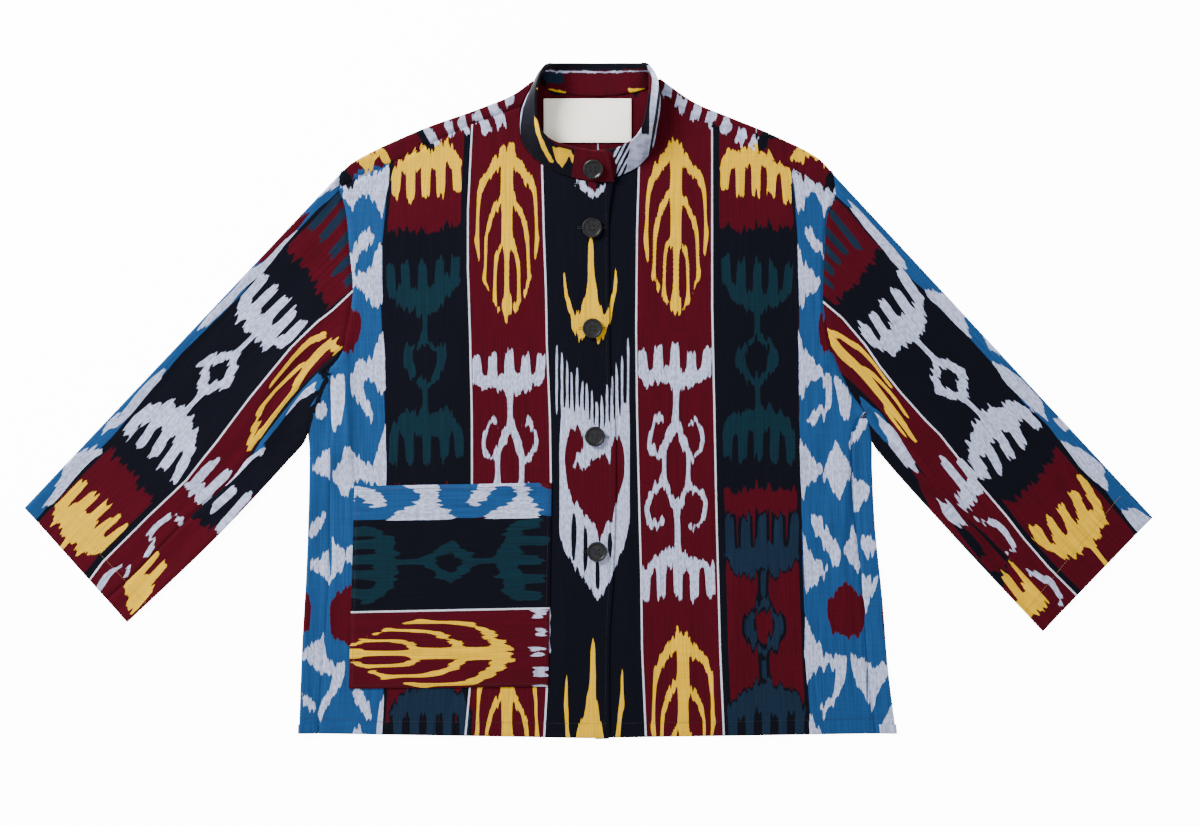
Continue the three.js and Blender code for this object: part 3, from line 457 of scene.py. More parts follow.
def sleeve_grid(half):
    """One flattened tube, the column on the underarm seam, and the count of the upper layer's columns."""
    rows, columns = SLEEVE_FINE
    count = SLEEVE_STEPS * rows
    upper, lower = (samples(lines[half][name], count) for name in ("sleeve_top", "sleeve_under"))
    turn, seam_share = armhole_shares(half)
    shares = np.concatenate([np.linspace(turn, seam_share, columns + 1),
                             np.linspace(seam_share, 1 - turn, ARM_STEPS * columns + 1)[1:]])
    arm = lines[half]["armhole"](shares)
    down = unit(lower[-1] - upper[-1])

    def into(edges, stop, across):
        """Directions square to a fold's line, towards the other one."""
        run = unit(edges[np.minimum(np.arange(len(edges)) + 1, count)]
                   - edges[np.maximum(np.arange(len(edges)) - 1, 0)])
        square = np.stack([-run[:, 1], run[:, 0]], axis=1)
        square *= np.sign(square @ across)[:, None]
        square[0] = unit(stop - edges[0])
        return square

    upper_into, lower_into = into(upper, arm[0], down), into(lower, arm[-1], -down)
    left, right = upper + upper_into * FOLD_RADIUS, lower + lower_into * FOLD_RADIUS
    part = ((shares - shares[0]) / (shares[-1] - shares[0]))[:, None]
    cuff = left[-1] * (1 - part) + right[-1] * part
    grid = patch_grid(left, right, arm, cuff, rows, columns)
    top, at = seam_column(grid, samples(lines[half]["sleeve_seam"], 60))
    arcs = [np.swapaxes(fold_arc(edge, way, SLEEVE_FOLD_STEPS), 0, 1)
            for edge, way in ((upper, upper_into), (lower, lower_into))]
    bottom = grid[:, 1:-1]
    bottom = np.concatenate([bottom, np.full(bottom.shape[:2] + (1,), BOTTOM_LAYER)], axis=-1)
    tube = np.concatenate([arcs[0], raised(top[:, 1:-1], upper_height), arcs[1][:, ::-1], bottom[:, ::-1]],
                          axis=1)
    return tube, SLEEVE_FOLD_STEPS + at, top.shape[1] + 2 * SLEEVE_FOLD_STEPS


def seam_column(grid, seam):
    """The grid with its columns shifted along each row, so that one of them lies on the seam."""
    nj, ni = grid.shape[:2]
    ax, ay = seam[:-1, 0], seam[:-1, 1]
    dx, dy = np.diff(seam[:, 0]), np.diff(seam[:, 1])
    crossing = np.full(nj, np.nan)
    for j in range(nj):
        x, y = grid[j, :, 0][:, None], grid[j, :, 1][:, None]
        share = np.clip(((x - ax) * dx + (y - ay) * dy) / (dx * dx + dy * dy), 0, 1)
        off = np.hypot(x - ax - share * dx, y - ay - share * dy)
        near = np.argmin(off, axis=1)
        turn = (x[:, 0] - ax[near]) * dy[near] - (y[:, 0] - ay[near]) * dx[near]
        signed = np.sign(turn) * off[np.arange(ni), near]
        change = np.nonzero(signed[:-1] * signed[1:] < 0)[0]
        change = change[change > ni * 0.5]
        if len(change):
            i = change[0]
            crossing[j] = i + signed[i] / (signed[i] - signed[i + 1])
    found = ~np.isnan(crossing)
    crossing = np.interp(np.arange(nj), np.nonzero(found)[0], crossing[found])
    at = int(round(float(np.mean(crossing))))
    result = grid.copy()
    for j in range(nj):
        place = np.concatenate([np.linspace(0, crossing[j], at + 1),
                                np.linspace(crossing[j], ni - 1, ni - at)[1:]])
        for axis in range(2):
            result[j, :, axis] = np.interp(place, np.arange(ni), grid[j, :, axis])
    return result, at


# ---------------------------------------------------------------- charts of the dyed threads
# A chart is drawn in millimetres, X to the right and Y down, on top of one ground dye. Each dye
# covers the ones before it, and its edges are read along the warp, where the ikat's bundles end. The
# numbers in the calls are places on the chart, as (x, y), and the widths of strokes.

BURGUNDY, BLUE, BLACK, TEAL, NAVY, YELLOW, WHITE = range(7)
DYE_REACH = 12.0        # the furthest that a dye's distance is measured
CHART_STEP = np.array([0.75, 0.5])
NO_LINES, NO_LINES_SHARE = 200.0, 0.2   # a stretch of the cloth map where no plain warp line runs


class Chart:
    """Fine grid of dyes between two corners, its columns along the warp's direction."""

    def __init__(self, low, high, along=(0, 1), seed=1, ragged=2.3):
        v_axis = unit(np.array(along, float))
        self.axes = np.array([[v_axis[1], -v_axis[0]], v_axis])
        corners = self.place([(x, y) for x in (low[0], high[0]) for y in (low[1], high[1])])
        self.low = corners.min(axis=0)
        count = np.ceil((corners.max(axis=0) - self.low) / CHART_STEP).astype(int) + 1
        self.u, self.v = (self.low[k] + np.arange(count[k]) * CHART_STEP[k] for k in range(2))
        self.dye = np.zeros((count[1], count[0]), np.int8)
        self.random = np.random.default_rng(seed)
        self.ragged = ragged

    def place(self, points):
        """Places across and along the warp."""
        return np.asarray(points, float) @ self.axes.T

    def window(self, points, margin):
        """The part of the grid round some places."""
        low = np.clip(((points.min(axis=0) - margin - self.low) / CHART_STEP).astype(int), 0, None)
        high = ((points.max(axis=0) + margin - self.low) / CHART_STEP).astype(int) + 2
        rows, columns = slice(low[1], max(low[1], high[1])), slice(low[0], max(low[0], high[0]))
        return (rows, columns), self.u[None, columns], self.v[rows, None]

    def patch(self, colour, *points):
        """A filled outline."""
        points = self.place(points)
        where, u, v = self.window(points, 1)
        inside = np.zeros(self.dye[where].shape, bool)
        for (au, av), (bu, bv) in zip(points, np.roll(points, -1, axis=0)):
            if abs(av - bv) > TINY:
                inside ^= ((av > v) != (bv > v)) & (u < au + (v - av) * (bu - au) / (bv - av))
        self.dye[where][inside] = colour

    def thread(self, colour, width, *points):
        """A stroke, with one width or one for each of its points."""
        points = self.place(points)
        widths = np.broadcast_to(np.asarray(width, float), (len(points),))
        for a, b, wide, next_wide in zip(points[:-1], points[1:], widths[:-1], widths[1:]):
            where, u, v = self.window(np.array([a, b]), max(wide, next_wide))
            off, share = off_segment(u, v, a[0], a[1], b[0], b[1])
            self.dye[where][off < (wide + (next_wide - wide) * share) / 2] = colour

    def twins(self, colour, width, middle, *points):
        """The same stroke on both sides of a line down the chart."""
        self.thread(colour, width, *points)
        self.thread(colour, width, *[(2 * middle - x, y) for x, y in points])

    def band(self, colour, left, right, top=-1e6, low=1e6):
        """Everything between two lines down the chart, each given by rows of y and x."""
        u, v = self.u[None], self.v[:, None]
        inside = (v > top) & (v < low)
        for line, sign in ((left, 1), (right, -1)):
            if line is not None:
                rows = np.array(line, float)
                inside = inside & (sign * (u - np.interp(v, rows[:, 0], rows[:, 1])) > 0)
        self.dye[inside] = colour

    def soak(self):
        """Shifts the thread bundles against each other, and measures every dye along the warp."""
        edges, shift = 0, np.zeros(len(self.u))
        while edges < len(self.u):
            width = self.random.integers(2, 5)
            shift[edges:edges + width] = self.random.normal(0, self.ragged)
            edges += width
        shift += 0.7 * self.ragged * np.sin(self.u / 7.0)
        rows = np.arange(len(self.v))[:, None] + np.round(shift / CHART_STEP[1]).astype(int)[None]
        shifted = np.take_along_axis(self.dye, np.clip(rows, 0, len(self.v) - 1), axis=0)
        index = np.arange(len(self.v), dtype=np.float32)[:, None]

        def to_next(mask):
            before = np.maximum.accumulate(np.where(mask, index, -1e5), axis=0)
            after = np.minimum.accumulate(np.where(mask, index, 1e5)[::-1], axis=0)[::-1]
            return np.minimum(index - before, after - index)

        layers = []
        for dye in range(BLUE, WHITE + 1):
            mask = shifted >= dye
            off = (to_next(~mask) - to_next(mask)) * CHART_STEP[1]
            layers.append(np.clip(off, -DYE_REACH, DYE_REACH))
        self.reach = np.stack(layers, axis=-1).astype(np.float32)
        return self

    def read(self, points):
        """Reach of the six dyes at places of the chart."""
        place = (self.place(points) - self.low) / CHART_STEP
        limit = np.array([len(self.u), len(self.v)]) - 2
        place = np.clip(place, 0, limit + 0.999)
        i, j = (np.minimum(place[..., k].astype(int), limit[k]) for k in range(2))
        wi, wj = (place[..., 0] - i)[..., None], (place[..., 1] - j)[..., None]
        field = self.reach
        low = field[j, i] * (1 - wi) + field[j, i + 1] * wi
        high = field[j + 1, i] * (1 - wi) + field[j + 1, i + 1] * wi
        return low * (1 - wj) + high * wj


PRONG_STEP = 16.5


def prongs(middle, y, count=5, droop=0):
    """Even places across an upright comb: its tips, or with one fewer the gaps between them."""
    outwards = [k - (count - 1) / 2 for k in range(count)]
    return [(middle + k * PRONG_STEP, y + droop * abs(k)) for k in outwards]


def beside(middle, *places, down=0):
    """Chart places of places given to the right of a line down the chart."""
    return [(middle + x, y + down) for x, y in places]


def comb(chart, colour, tips, gaps, rim, width=9.5, halo=0.0):
    """Comb of upright prongs: their tips, the gaps' ends between them, and the rim round its dome."""
    tips, gaps, rim = (np.array(rows, float) for rows in (tips, gaps, rim))
    ends = np.vstack([rim[:1], gaps, rim[-1:]])
    roots = (ends[:-1] + ends[1:]) / 2
    shoulder, sunk, half_width, tip_share = 3, 5, 0.47, 0.7
    passes = [(BLACK, width + 2 * halo, halo), (colour, width, 0.0)] if halo else [(colour, width, 0.0)]
    for dye, wide, grown in passes:
        middle = rim.mean(axis=0)
        outline = np.vstack([rim + unit(rim - middle) * grown, gaps[::-1]])
        chart.patch(dye, *outline)
        for tip, root in zip(tips, roots):
            way = unit(root - tip)
            aside = np.array([-way[1], way[0]]) * wide * half_width
            top, low = tip - way * grown, root + way * sunk
            wide_from = top + way * shoulder
            chart.patch(dye, top + aside * tip_share, wide_from + aside, low + aside, low - aside,
                        wide_from - aside, top - aside * tip_share)


def ring(chart, colour, middle, top, wide, low, spread, hole, halo=0.0):
    """Pointed ring on a stem's line: its top, widest and lowest places, half width and hole."""
    for dye, grow in ([(BLACK, halo)] if halo else []) + [(colour, 0.0)]:
        chart.twins(dye, np.array([5, 5, 8, 10, 7, 5]) + 2 * grow, middle,
                    (middle, top), (middle + spread * 0.45, top + (wide - top) * 0.55),
                    (middle + spread - 5, wide - 7), (middle + spread - 5, wide + 5),
                    (middle + spread * 0.5, low - (low - wide) * 0.4), (middle, low))
    if hole is not None:
        chart.patch(hole, *beside(middle, (0, -14), (8, -6), (9, 2), (7, 12), (0, 18), (-7, 12), (-9, 2),
                                  (-8, -6), down=wide))


LEAF = [   # widths, then places to the right of the stem's line and down from the head's top
    ((13, 12, 8, 4.5, 2.8, 2.6, 4.8, 2.2),
     ((0, 8), (8, 12), (20, 26), (27.5, 42), (29, 60), (29.5, 80), (30.5, 90), (28, 110))),
    ((7, 6.5, 5, 3.4, 2.6, 4.2, 2.6),
     ((4, 48), (10, 56), (17, 70), (21, 88), (21.5, 118), (23, 128), (17, 143))),
    ((6, 5, 3.4, 2.6, 4.4, 3.2), ((2, 92), (8, 101), (11.5, 112), (12, 140), (12.5, 151), (7.5, 161)))]


def leaf(chart, put):
    """Yellow leaf with three pairs of arms on a stem; put turns its own places to the chart's."""
    for widths, arm in LEAF:
        for side in (-1, 1):
            chart.thread(YELLOW, widths, *[put(side * x, y) for x, y in arm])
    chart.thread(YELLOW, (6, 11, 12, 11, 10), put(0, 1), put(0, 10), put(0, 30), put(0, 60), put(0, 96))
    chart.thread(YELLOW, (11, 5, 5), put(0, 94), put(0, 106), put(0, 150))
    chart.thread(YELLOW, (5, 10, 11, 6), put(0, 146), put(0, 154), put(0, 162), put(0, 168))
    for side in (-1, 1):
        chart.thread(YELLOW, 6, put(side * 5, 0), put(side * 4, 8))


def upright_leaf(chart, middle, top):
    """The leaf with its head up."""
    leaf(chart, lambda x, y: (middle + x, top + y))


# Lines between the body's bands, as rows of y and x, and where each lies on the cloth itself
BAND_LINES = [
    ([(60, 400), (166, 390), (214, 385), (254, 381), (300, 381), (350, 383), (418, 385), (484, 385),
      (687, 384), (740, 380)], 385.0),
    ([(60, 474), (130, 472), (210, 468), (270, 468), (330, 470), (418, 472), (484, 472), (687, 470),
      (740, 465)], 470.0),
    ([(60, 541), (166, 542), (236, 544), (290, 546), (346, 547), (418, 550), (485, 551), (687, 547),
      (740, 544)], 545.0),
    ([(60, 640), (167, 639), (230, 637), (330, 636), (417, 637), (500, 639), (575, 641), (650, 642),
      (740, 646)], 640.0),
    ([(60, 712), (305, 712), (400, 714), (500, 716), (575, 718), (650, 720), (740, 724)], 715.0),
    ([(60, 786), (170, 791), (205, 795), (230, 797), (305, 799), (417, 799), (500, 801), (575, 803),
      (650, 806), (740, 811)], 800.0)]
LEFT_BLUE, LEFT_WHITE, CENTRE_LEFT, CENTRE_RIGHT, RIGHT_WHITE, RIGHT_BLUE = (row for row, _ in BAND_LINES)
LINE_PLACES = [place for _, place in BAND_LINES[1:-1]]   # the four plain white warp lines


def moved(line, by):
    """A band's line shifted across."""
    return [(y, x + by) for y, x in line]


def body_chart():
    """The fronts, the back and its strips: upright warp, six lines between the bands."""
    chart = Chart((280, 60), (905, 748), seed=11)
    patch, thread, twins, band = chart.patch, chart.thread, chart.twins, chart.band
    band(BLUE, None, LEFT_BLUE)
    band(BLUE, RIGHT_BLUE, None)
    band(BLACK, LEFT_BLUE, LEFT_WHITE)
    band(BLACK, CENTRE_LEFT, CENTRE_RIGHT)
    band(BLACK, RIGHT_WHITE, RIGHT_BLUE)

    # outer black bands: yellow comb on burgundy, teal comb, ring and comb, dark blue comb below
    band(BURGUNDY, moved(LEFT_BLUE, 4), moved(LEFT_WHITE, -7), low=231)
    band(BURGUNDY, moved(RIGHT_WHITE, 7), moved(RIGHT_BLUE, -3), low=228)
    patch(BLACK, (430, 236), (470, 236), (470, 223), (452, 226), (440, 231))
    comb(chart, YELLOW, [(396, 198), (411, 201), (426, 196), (441, 196), (458, 192)],
         [(403, 172), (419, 170), (433, 169), (449, 167)],
         [(390, 182), (394, 168), (404, 158), (416, 150), (430, 146), (449, 146), (458, 152), (463, 166)])
    comb(chart, YELLOW, [(724, 190), (740, 195), (756, 197), (771, 198), (788, 202)],
         [(732, 166), (748, 166), (764, 167), (779, 172)],
         [(719, 172), (722, 158), (732, 148), (748, 146), (764, 150), (780, 158), (789, 166), (792, 182)])
    comb(chart, TEAL, [(390, 264), (405, 264), (423, 262), (440, 259), (456, 256)],
         [(398, 288), (415, 288), (431, 284), (448, 279)],
         [(385, 284), (390, 298), (400, 306), (412, 312), (424, 316), (437, 310), (450, 298), (461, 280)])
    comb(chart, TEAL, [(725, 257), (741, 258), (757, 264), (773, 264), (789, 266)],
         [(732, 282), (749, 290), (765, 294), (781, 292)],
         [(721, 276), (728, 292), (738, 302), (748, 310), (758, 315), (770, 310), (782, 302), (793, 286)])
    for middle, shift in ((425, 0), (757, -2)):
        thread(TEAL, 5, *beside(middle, (0, 310), (0, 342), down=shift))
        ring(chart, TEAL, middle, 337 + shift, 357 + shift, 388 + shift, 22, None)
        thread(TEAL, 5, *beside(middle, (0, 382), (1, 414), down=shift))
    comb(chart, TEAL, [(393, 465), (410, 463), (427, 463), (445, 462), (460, 458)],
         [(401, 434), (418, 436), (436, 436), (453, 434)],
         [(388, 440), (393, 424), (403, 413), (426, 410), (450, 412), (460, 424), (464, 440)])
    comb(chart, TEAL, [(727, 458), (742, 461), (758, 462), (774, 462), (791, 463)],
         [(735, 430), (750, 432), (766, 433), (783, 434)],
         [(721, 440), (724, 424), (734, 411), (757, 408), (780, 410), (791, 424), (796, 442)])
    band(BURGUNDY, moved(LEFT_BLUE, 4), moved(LEFT_WHITE, -7), top=487, low=722)
    band(BURGUNDY, moved(RIGHT_WHITE, 8), moved(RIGHT_BLUE, -4), top=489, low=706)
    for middle, up in ((427, 0), (762, -4)):
        comb(chart, NAVY, prongs(middle, 520 + up), prongs(middle, 550 + up, 4),
             beside(middle, (-39, 554), (-28, 568), (-10, 577), (4, 579), (24, 570), (38, 556)), halo=3.0)
        for dye, wide in ((BLACK, 11), (NAVY, 5)):
            thread(dye, wide, *beside(middle, (1, 574), (1, 606)))
            thread(dye, wide, *beside(middle, (1, 652), (3, 690)))
        ring(chart, NAVY, middle + 2, 602, 625, 655, 20, BURGUNDY, halo=3.0)
        comb(chart, NAVY, prongs(middle + 4, 760), prongs(middle + 4, 714, 4),
             beside(middle, (-38, 716), (-30, 700), (-12, 687), (4, 683), (22, 687), (38, 698), (46, 714)),
             halo=3.0)

    # burgundy bands: yellow leaf, white comb, scrolls and comb, then the next leaf
    upright_leaf(chart, 507, 150)
    upright_leaf(chart, 676, 146)
    for middle, top, shift in ((509, 353, 0), (675, 347, -3)):
        comb(chart, WHITE, prongs(middle, top, droop=1), prongs(middle, top + 22, 4),
             beside(middle, (-38, 24), (-32, 35), (-14, 36), (0, 44), (14, 38), (30, 34), (37, 24), down=top))
        thread(WHITE, 5.5, (middle + 1, top + 36), (middle + 1, 425 + shift))
        twins(WHITE, (6, 8, 8, 7, 6, 5, 4, 3.5, 3, 4, 6, 4), middle + 1,
              *beside(middle, (1, 422), (4, 432), (8, 442), (13, 453), (18, 459), (25, 453), (28, 444),
                      (26, 434), (22, 425), (19, 418), (18, 422), (14, 424), down=shift))
        twins(WHITE, 4.5, middle + 1, *beside(middle, (13, 456), (13, 484), down=shift))
        twins(WHITE, (6, 6, 5, 4, 4, 4, 5, 6, 4), middle + 1,
              *beside(middle, (13, 482 + shift), (19, 487), (26, 494), (31, 503), (30, 512), (27, 520),
                      (22, 526), (17, 524), (14, 521)))
        twins(WHITE, 5, middle + 1, *beside(middle, (13, 482), (4, 506), (1, 516)))
        thread(WHITE, 5, *beside(middle, (2, 505), (3, 556)))
        comb(chart, WHITE, prongs(middle + 3, 598), prongs(middle + 3, 570, 4),
             beside(middle, (-36, 572), (-26, 562), (-6, 550), (4, 548), (22, 556), (41, 572)))
    upright_leaf(chart, 683, 634)
    upright_leaf(chart, 507, 646)
    for k, y in enumerate((606, 622, 640)):
        thread(WHITE, 9, (545 - k, y), (547, y + 6))

    # centre band: V, spire, striped shield with its burgundy tulip, and the next spire
    patch(WHITE, (574, 182), (584, 184), (588, 190), (592, 185), (597, 190), (600, 184), (607, 183),
          (600, 192), (592, 202), (586, 196), (580, 190))
    patch(BURGUNDY, (587, 180), (597, 180), (596, 191), (588, 191))
    thread(YELLOW, (2, 6, 6, 9, 12, 14, 18), (591, 238), (591, 248), (591, 270), (592, 285), (592, 298),
           (592, 308), (592, 318))
    patch(YELLOW, (585, 300), (599, 300), (603, 310), (609, 322), (604, 334), (597, 342), (594, 332),
          (588, 334), (583, 340), (579, 344), (576, 332), (571, 322), (579, 318))
    thread(YELLOW, (2, 3, 4, 5, 7), (564, 270), (566, 290), (570, 308), (575, 320), (579, 332))
    thread(YELLOW, (2, 4, 4, 5, 6), (616, 268), (615, 290), (611, 306), (608, 318), (603, 330))
    band(WHITE, [(398, 575), (404, 562), (440, 559.5), (532, 559.5), (552, 567), (570, 577), (590, 590),
                 (600, 597)], [(398, 617), (404, 629), (440, 630), (527, 630), (550, 622), (565, 615),
                               (585, 607), (600, 597)], top=398, low=600)
    stripe_tops = [(557, 344), (562, 354), (567, 359), (572, 370), (577, 375), (582, 385), (587, 389),
                   (592, 394), (597, 402), (602, 396), (607, 388), (612, 378), (617, 362), (622, 356),
                   (628, 343)]
    for x, top in stripe_tops:
        thread(WHITE, 2.4, (x, top), (x, 410))
    for x in (564.5, 569.5, 574.5, 579.5, 584.5, 589.5, 594.5, 599.5, 604.5, 609.5, 614.5, 620):
        end = 426 - abs(x - 600) * 0.55 if x > 585 else 404 + (x - 564) * 0.5
        thread(BLACK, 2.4, (x, 396), (x, end))
    patch(BURGUNDY, (574, 427), (569, 430), (565, 445), (565, 462), (567, 482), (572, 498), (580, 512),
          (588, 522), (596, 524), (600, 540), (605, 524), (613, 520), (616, 500), (622, 486), (625, 468),
          (624, 448), (620, 436), (614, 436), (611, 444), (610, 462), (604, 450), (597, 458), (590, 464),
          (586, 456), (584, 444), (580, 430))
    patch(WHITE, (583, 434), (587, 436), (588, 456), (590, 466), (584, 472), (578, 466), (572, 465),
          (573, 460), (580, 458), (584, 450))
    for x, top, low in ((574, 512, 556), (585.5, 530, 574), (597.5, 560, 586), (610, 530, 556)):
        thread(BLACK, (3, 5, 5, 2), (x, top), (x, top + 12), (x, low - 8), (x, low))
    thread(YELLOW, (2, 5, 6, 7, 11, 14), (593, 640), (593, 652), (593, 680), (592, 694), (592, 706),
           (592, 716))
    patch(YELLOW, (587, 698), (598, 698), (600, 716), (604, 734), (606, 748), (574, 748), (580, 726),
          (586, 714))
    thread(YELLOW, (2, 4, 3, 5), (567, 672), (566, 700), (567, 722), (569, 748))
    thread(YELLOW, (2, 3, 5, 4, 5), (622, 668), (622, 690), (622, 702), (619, 722), (617, 748))

    # left blue band
    for shape in (
            ((337, 190), (390, 165), (389, 185), (385, 205), (382, 214), (376, 205), (372, 197), (366, 196),
             (360, 200), (352, 208), (346, 198)),
            ((366, 232), (372, 228), (375, 238), (368, 248), (360, 256), (357, 264), (354, 272), (352, 285),
             (348, 270), (349, 252), (356, 244)),
            ((382, 240), (383, 302), (376, 308), (368, 300), (360, 291), (353, 284), (352, 274), (358, 276),
             (366, 275), (372, 262), (377, 250)),
            ((383, 325), (385, 350), (386, 392), (378, 390), (372, 379), (366, 380), (362, 390), (368, 402),
             (375, 412), (371, 420), (362, 410), (356, 400), (351, 388), (350, 374), (358, 362), (366, 364),
             (374, 352), (379, 338)),
            ((331, 376), (345, 374), (346, 398), (342, 418), (336, 432), (332, 430), (331, 400)),
            ((318, 400), (328, 404), (327, 418), (319, 419), (315, 411)),
            ((331, 444), (331, 480), (322, 476), (312, 468), (320, 456)),
            ((386, 420), (387, 487), (372, 484), (362, 482), (352, 484), (347, 496), (340, 490), (332, 478),
             (333, 470), (342, 460), (346, 444), (350, 442), (356, 456), (364, 466), (374, 462), (379, 445)),
            ((327, 509), (327, 518), (320, 530), (311, 538), (308, 532), (316, 520)),
            ((332, 535), (338, 545), (345, 550), (344, 566), (334, 578), (330, 586), (322, 575), (310, 567),
             (308, 562), (320, 558), (328, 548)),
            ((347, 543), (357, 541), (360, 563), (345, 560)),
            ((326, 631), (324, 640), (327, 655), (336, 664), (346, 661), (345, 672), (338, 690), (328, 706),
             (322, 721), (317, 716), (322, 700), (330, 686), (333, 676), (322, 674), (312, 664), (301, 656),
             (306, 648), (316, 642)),
            ((302, 692), (309, 696), (317, 706), (314, 711), (302, 704)),
            ((352, 688), (358, 688), (366, 700), (373, 711), (370, 722), (362, 714), (355, 702)),
            ((385, 688), (382, 740), (376, 740), (378, 714), (382, 695)),
            ((352, 730), (360, 728), (364, 740), (350, 740))):
        patch(WHITE, *shape)
    thread(BLUE, 2.6, (331, 540), (331, 574))
    # Partly painted shade: a black patch where the sleeve's black under cloth bunches in the underarm fold.
    # It is partly that cloth's own black and partly the fold's shade painted in.
    patch(BLACK, (326, 371), (331, 380), (322, 396), (314, 414), (309, 436), (305, 446), (298, 444),
          (304, 410), (312, 388), (318, 372))
    patch(BURGUNDY, (349, 304), (356, 311), (362, 320), (361, 336), (356, 346), (343, 352), (340, 330))
    patch(BURGUNDY, (350, 584), (338, 592), (330, 606), (331, 634), (342, 641), (360, 642), (360, 584))
    patch(BURGUNDY, (298, 594), (311, 596), (311, 628), (298, 634))

    # right blue band
    for shape in (
            ((790, 166), (838, 188), (834, 198), (828, 206), (824, 213), (820, 205), (815, 193), (808, 196),
             (803, 206), (797, 214), (794, 190)),
            ((806, 228), (811, 230), (818, 240), (824, 250), (822, 257), (815, 252), (808, 242), (804, 235)),
            ((797, 238), (801, 255), (808, 268), (818, 278), (822, 285), (816, 292), (806, 298), (799, 309)),
            ((798, 326), (802, 342), (808, 354), (818, 366), (828, 374), (832, 385), (825, 381), (812, 381),
             (806, 390), (799, 398)),
            ((826, 374), (832, 376), (832, 402), (826, 413), (818, 420), (812, 427), (806, 422), (814, 411),
             (826, 403)),
            ((833, 376), (838, 380), (846, 388), (852, 402), (850, 414), (845, 425), (840, 414), (838, 400)),
            ((799, 434), (806, 446), (812, 458), (820, 466), (826, 464), (830, 452), (835, 441), (840, 452),
             (848, 462), (852, 474), (847, 484), (843, 492), (839, 501), (834, 490), (826, 476), (818, 478),
             (810, 484), (801, 498)),
            ((866, 408), (868, 418), (862, 432), (855, 444), (850, 452), (848, 443), (856, 428), (860, 416)),
            ((851, 477), (869, 481), (871, 492), (863, 500), (858, 512), (854, 516), (852, 500)),
            ((811, 514), (822, 519), (828, 530), (836, 542), (841, 556), (838, 568), (832, 560), (826, 548),
             (818, 538), (811, 526)),
            ((802, 520), (806, 545), (815, 560), (828, 565), (828, 570), (818, 582), (805, 596)),
            ((853, 528), (857, 536), (858, 552), (861, 566), (858, 574), (850, 566), (843, 552), (848, 540)),
            ((861, 534), (872, 533), (877, 545), (868, 556), (860, 546)),
            ((861, 573), (878, 576), (876, 586), (870, 594), (866, 611), (863, 600)),
            ((805, 616), (812, 634), (822, 650), (836, 656), (847, 660), (845, 680), (838, 696), (826, 712),
             (820, 714), (820, 706), (828, 698), (834, 690), (836, 670), (830, 664), (820, 668), (812, 676),
             (807, 686), (804, 650)),
            ((850, 658), (864, 655), (872, 664), (889, 667), (888, 676), (880, 690), (872, 706), (866, 698),
             (858, 686), (852, 676)),
            ((809, 710), (814, 722), (822, 734), (822, 742), (809, 742)),
            ((893, 702), (896, 740), (878, 740), (884, 722))):
        patch(WHITE, *shape)
    patch(BURGUNDY, (845, 583), (852, 590), (858, 595), (865, 598), (865, 622), (858, 636), (846, 640),
          (834, 633), (827, 618), (827, 600), (836, 590))
    patch(BURGUNDY, (881, 610), (900, 606), (900, 644), (884, 641))
    patch(BURGUNDY, (828, 308), (820, 318), (818, 330), (820, 345), (828, 352), (842, 352), (840, 308))
    thread(BLUE, 2, (867, 664), (867, 694))

    # strips over the shoulders, beyond the seams
    patch(BURGUNDY, (347, 178), (408, 155), (469, 126), (500, 114), (522, 106), (545, 96), (545, 60),
          (400, 60), (330, 178))
    patch(BURGUNDY, (636, 60), (662, 96), (701, 121.5), (740, 142), (778, 162), (825, 188), (870, 190),
          (800, 60))
    for x, y in ((510, 101), (494, 109), (478, 117), (463, 124), (449, 130), (433, 139), (500, 121),
                 (486, 127), (668, 92), (681, 104), (696, 112), (711, 119), (726, 127), (741, 135),
                 (755, 143)):
        lean = 1 if x < CHART_CORNER[0] else -1
        patch(WHITE, (x - 7 * lean, y - 4), (x + 2 * lean, y - 9), (x + 7 * lean, y + 4),
              (x - 2 * lean, y + 9))
    patch(BLACK, (414, 124), (421, 122), (436, 148), (427, 150))
    patch(BLACK, (752, 146), (770, 128), (776, 134), (763, 152))
    patch(WHITE, (422, 126), (426, 124), (442, 143), (436, 146))
    for shape in (((356, 160), (368, 152), (378, 158), (372, 166), (366, 172), (360, 168)),
                  ((372, 150), (382, 144), (388, 154), (392, 163), (386, 166), (380, 156)),
                  ((788, 158), (800, 146), (812, 152), (830, 160), (822, 163), (804, 158), (794, 164)),
                  ((776, 134), (786, 132), (782, 140))):
        patch(YELLOW, *shape)
    patch(BLACK, (334, 172), (345, 162), (356, 182), (344, 188))
    patch(BLACK, (822, 182), (838, 162), (845, 170), (832, 192))
    patch(BLUE, (300, 208), (330, 178), (346, 190), (330, 215))
    patch(WHITE, (318, 192), (334, 176), (344, 184), (332, 192))
    patch(WHITE, (838, 178), (846, 170), (858, 186), (850, 196), (840, 188))

    # inside the neck, with the centre seam's pale edge
    patch(BURGUNDY, (538, 92), (640, 92), (640, 166), (538, 166))
    thread(WHITE, 1.6, (598, 141), (598, 156))
    return chart.soak()


def local_ring(chart, colour, hole, middle, top, low, spread, core=0.42):
    """Pointed ring anywhere on a chart: its middle, two tips on the stem's line and half width."""
    middle, top, low = (np.array(place, float) for place in (middle, top, low))
    way = unit(low - top)
    side = np.array([-way[1], way[0]]) * spread
    outline = [top, middle + side * 0.8 - way * 8, middle + side, middle + side * 0.8 + way * 8, low,
               middle - side * 0.8 + way * 8, middle - side, middle - side * 0.8 - way * 8]
    chart.patch(colour, *outline)
    chart.patch(hole, *[middle + (place - middle) * core for place in outline])


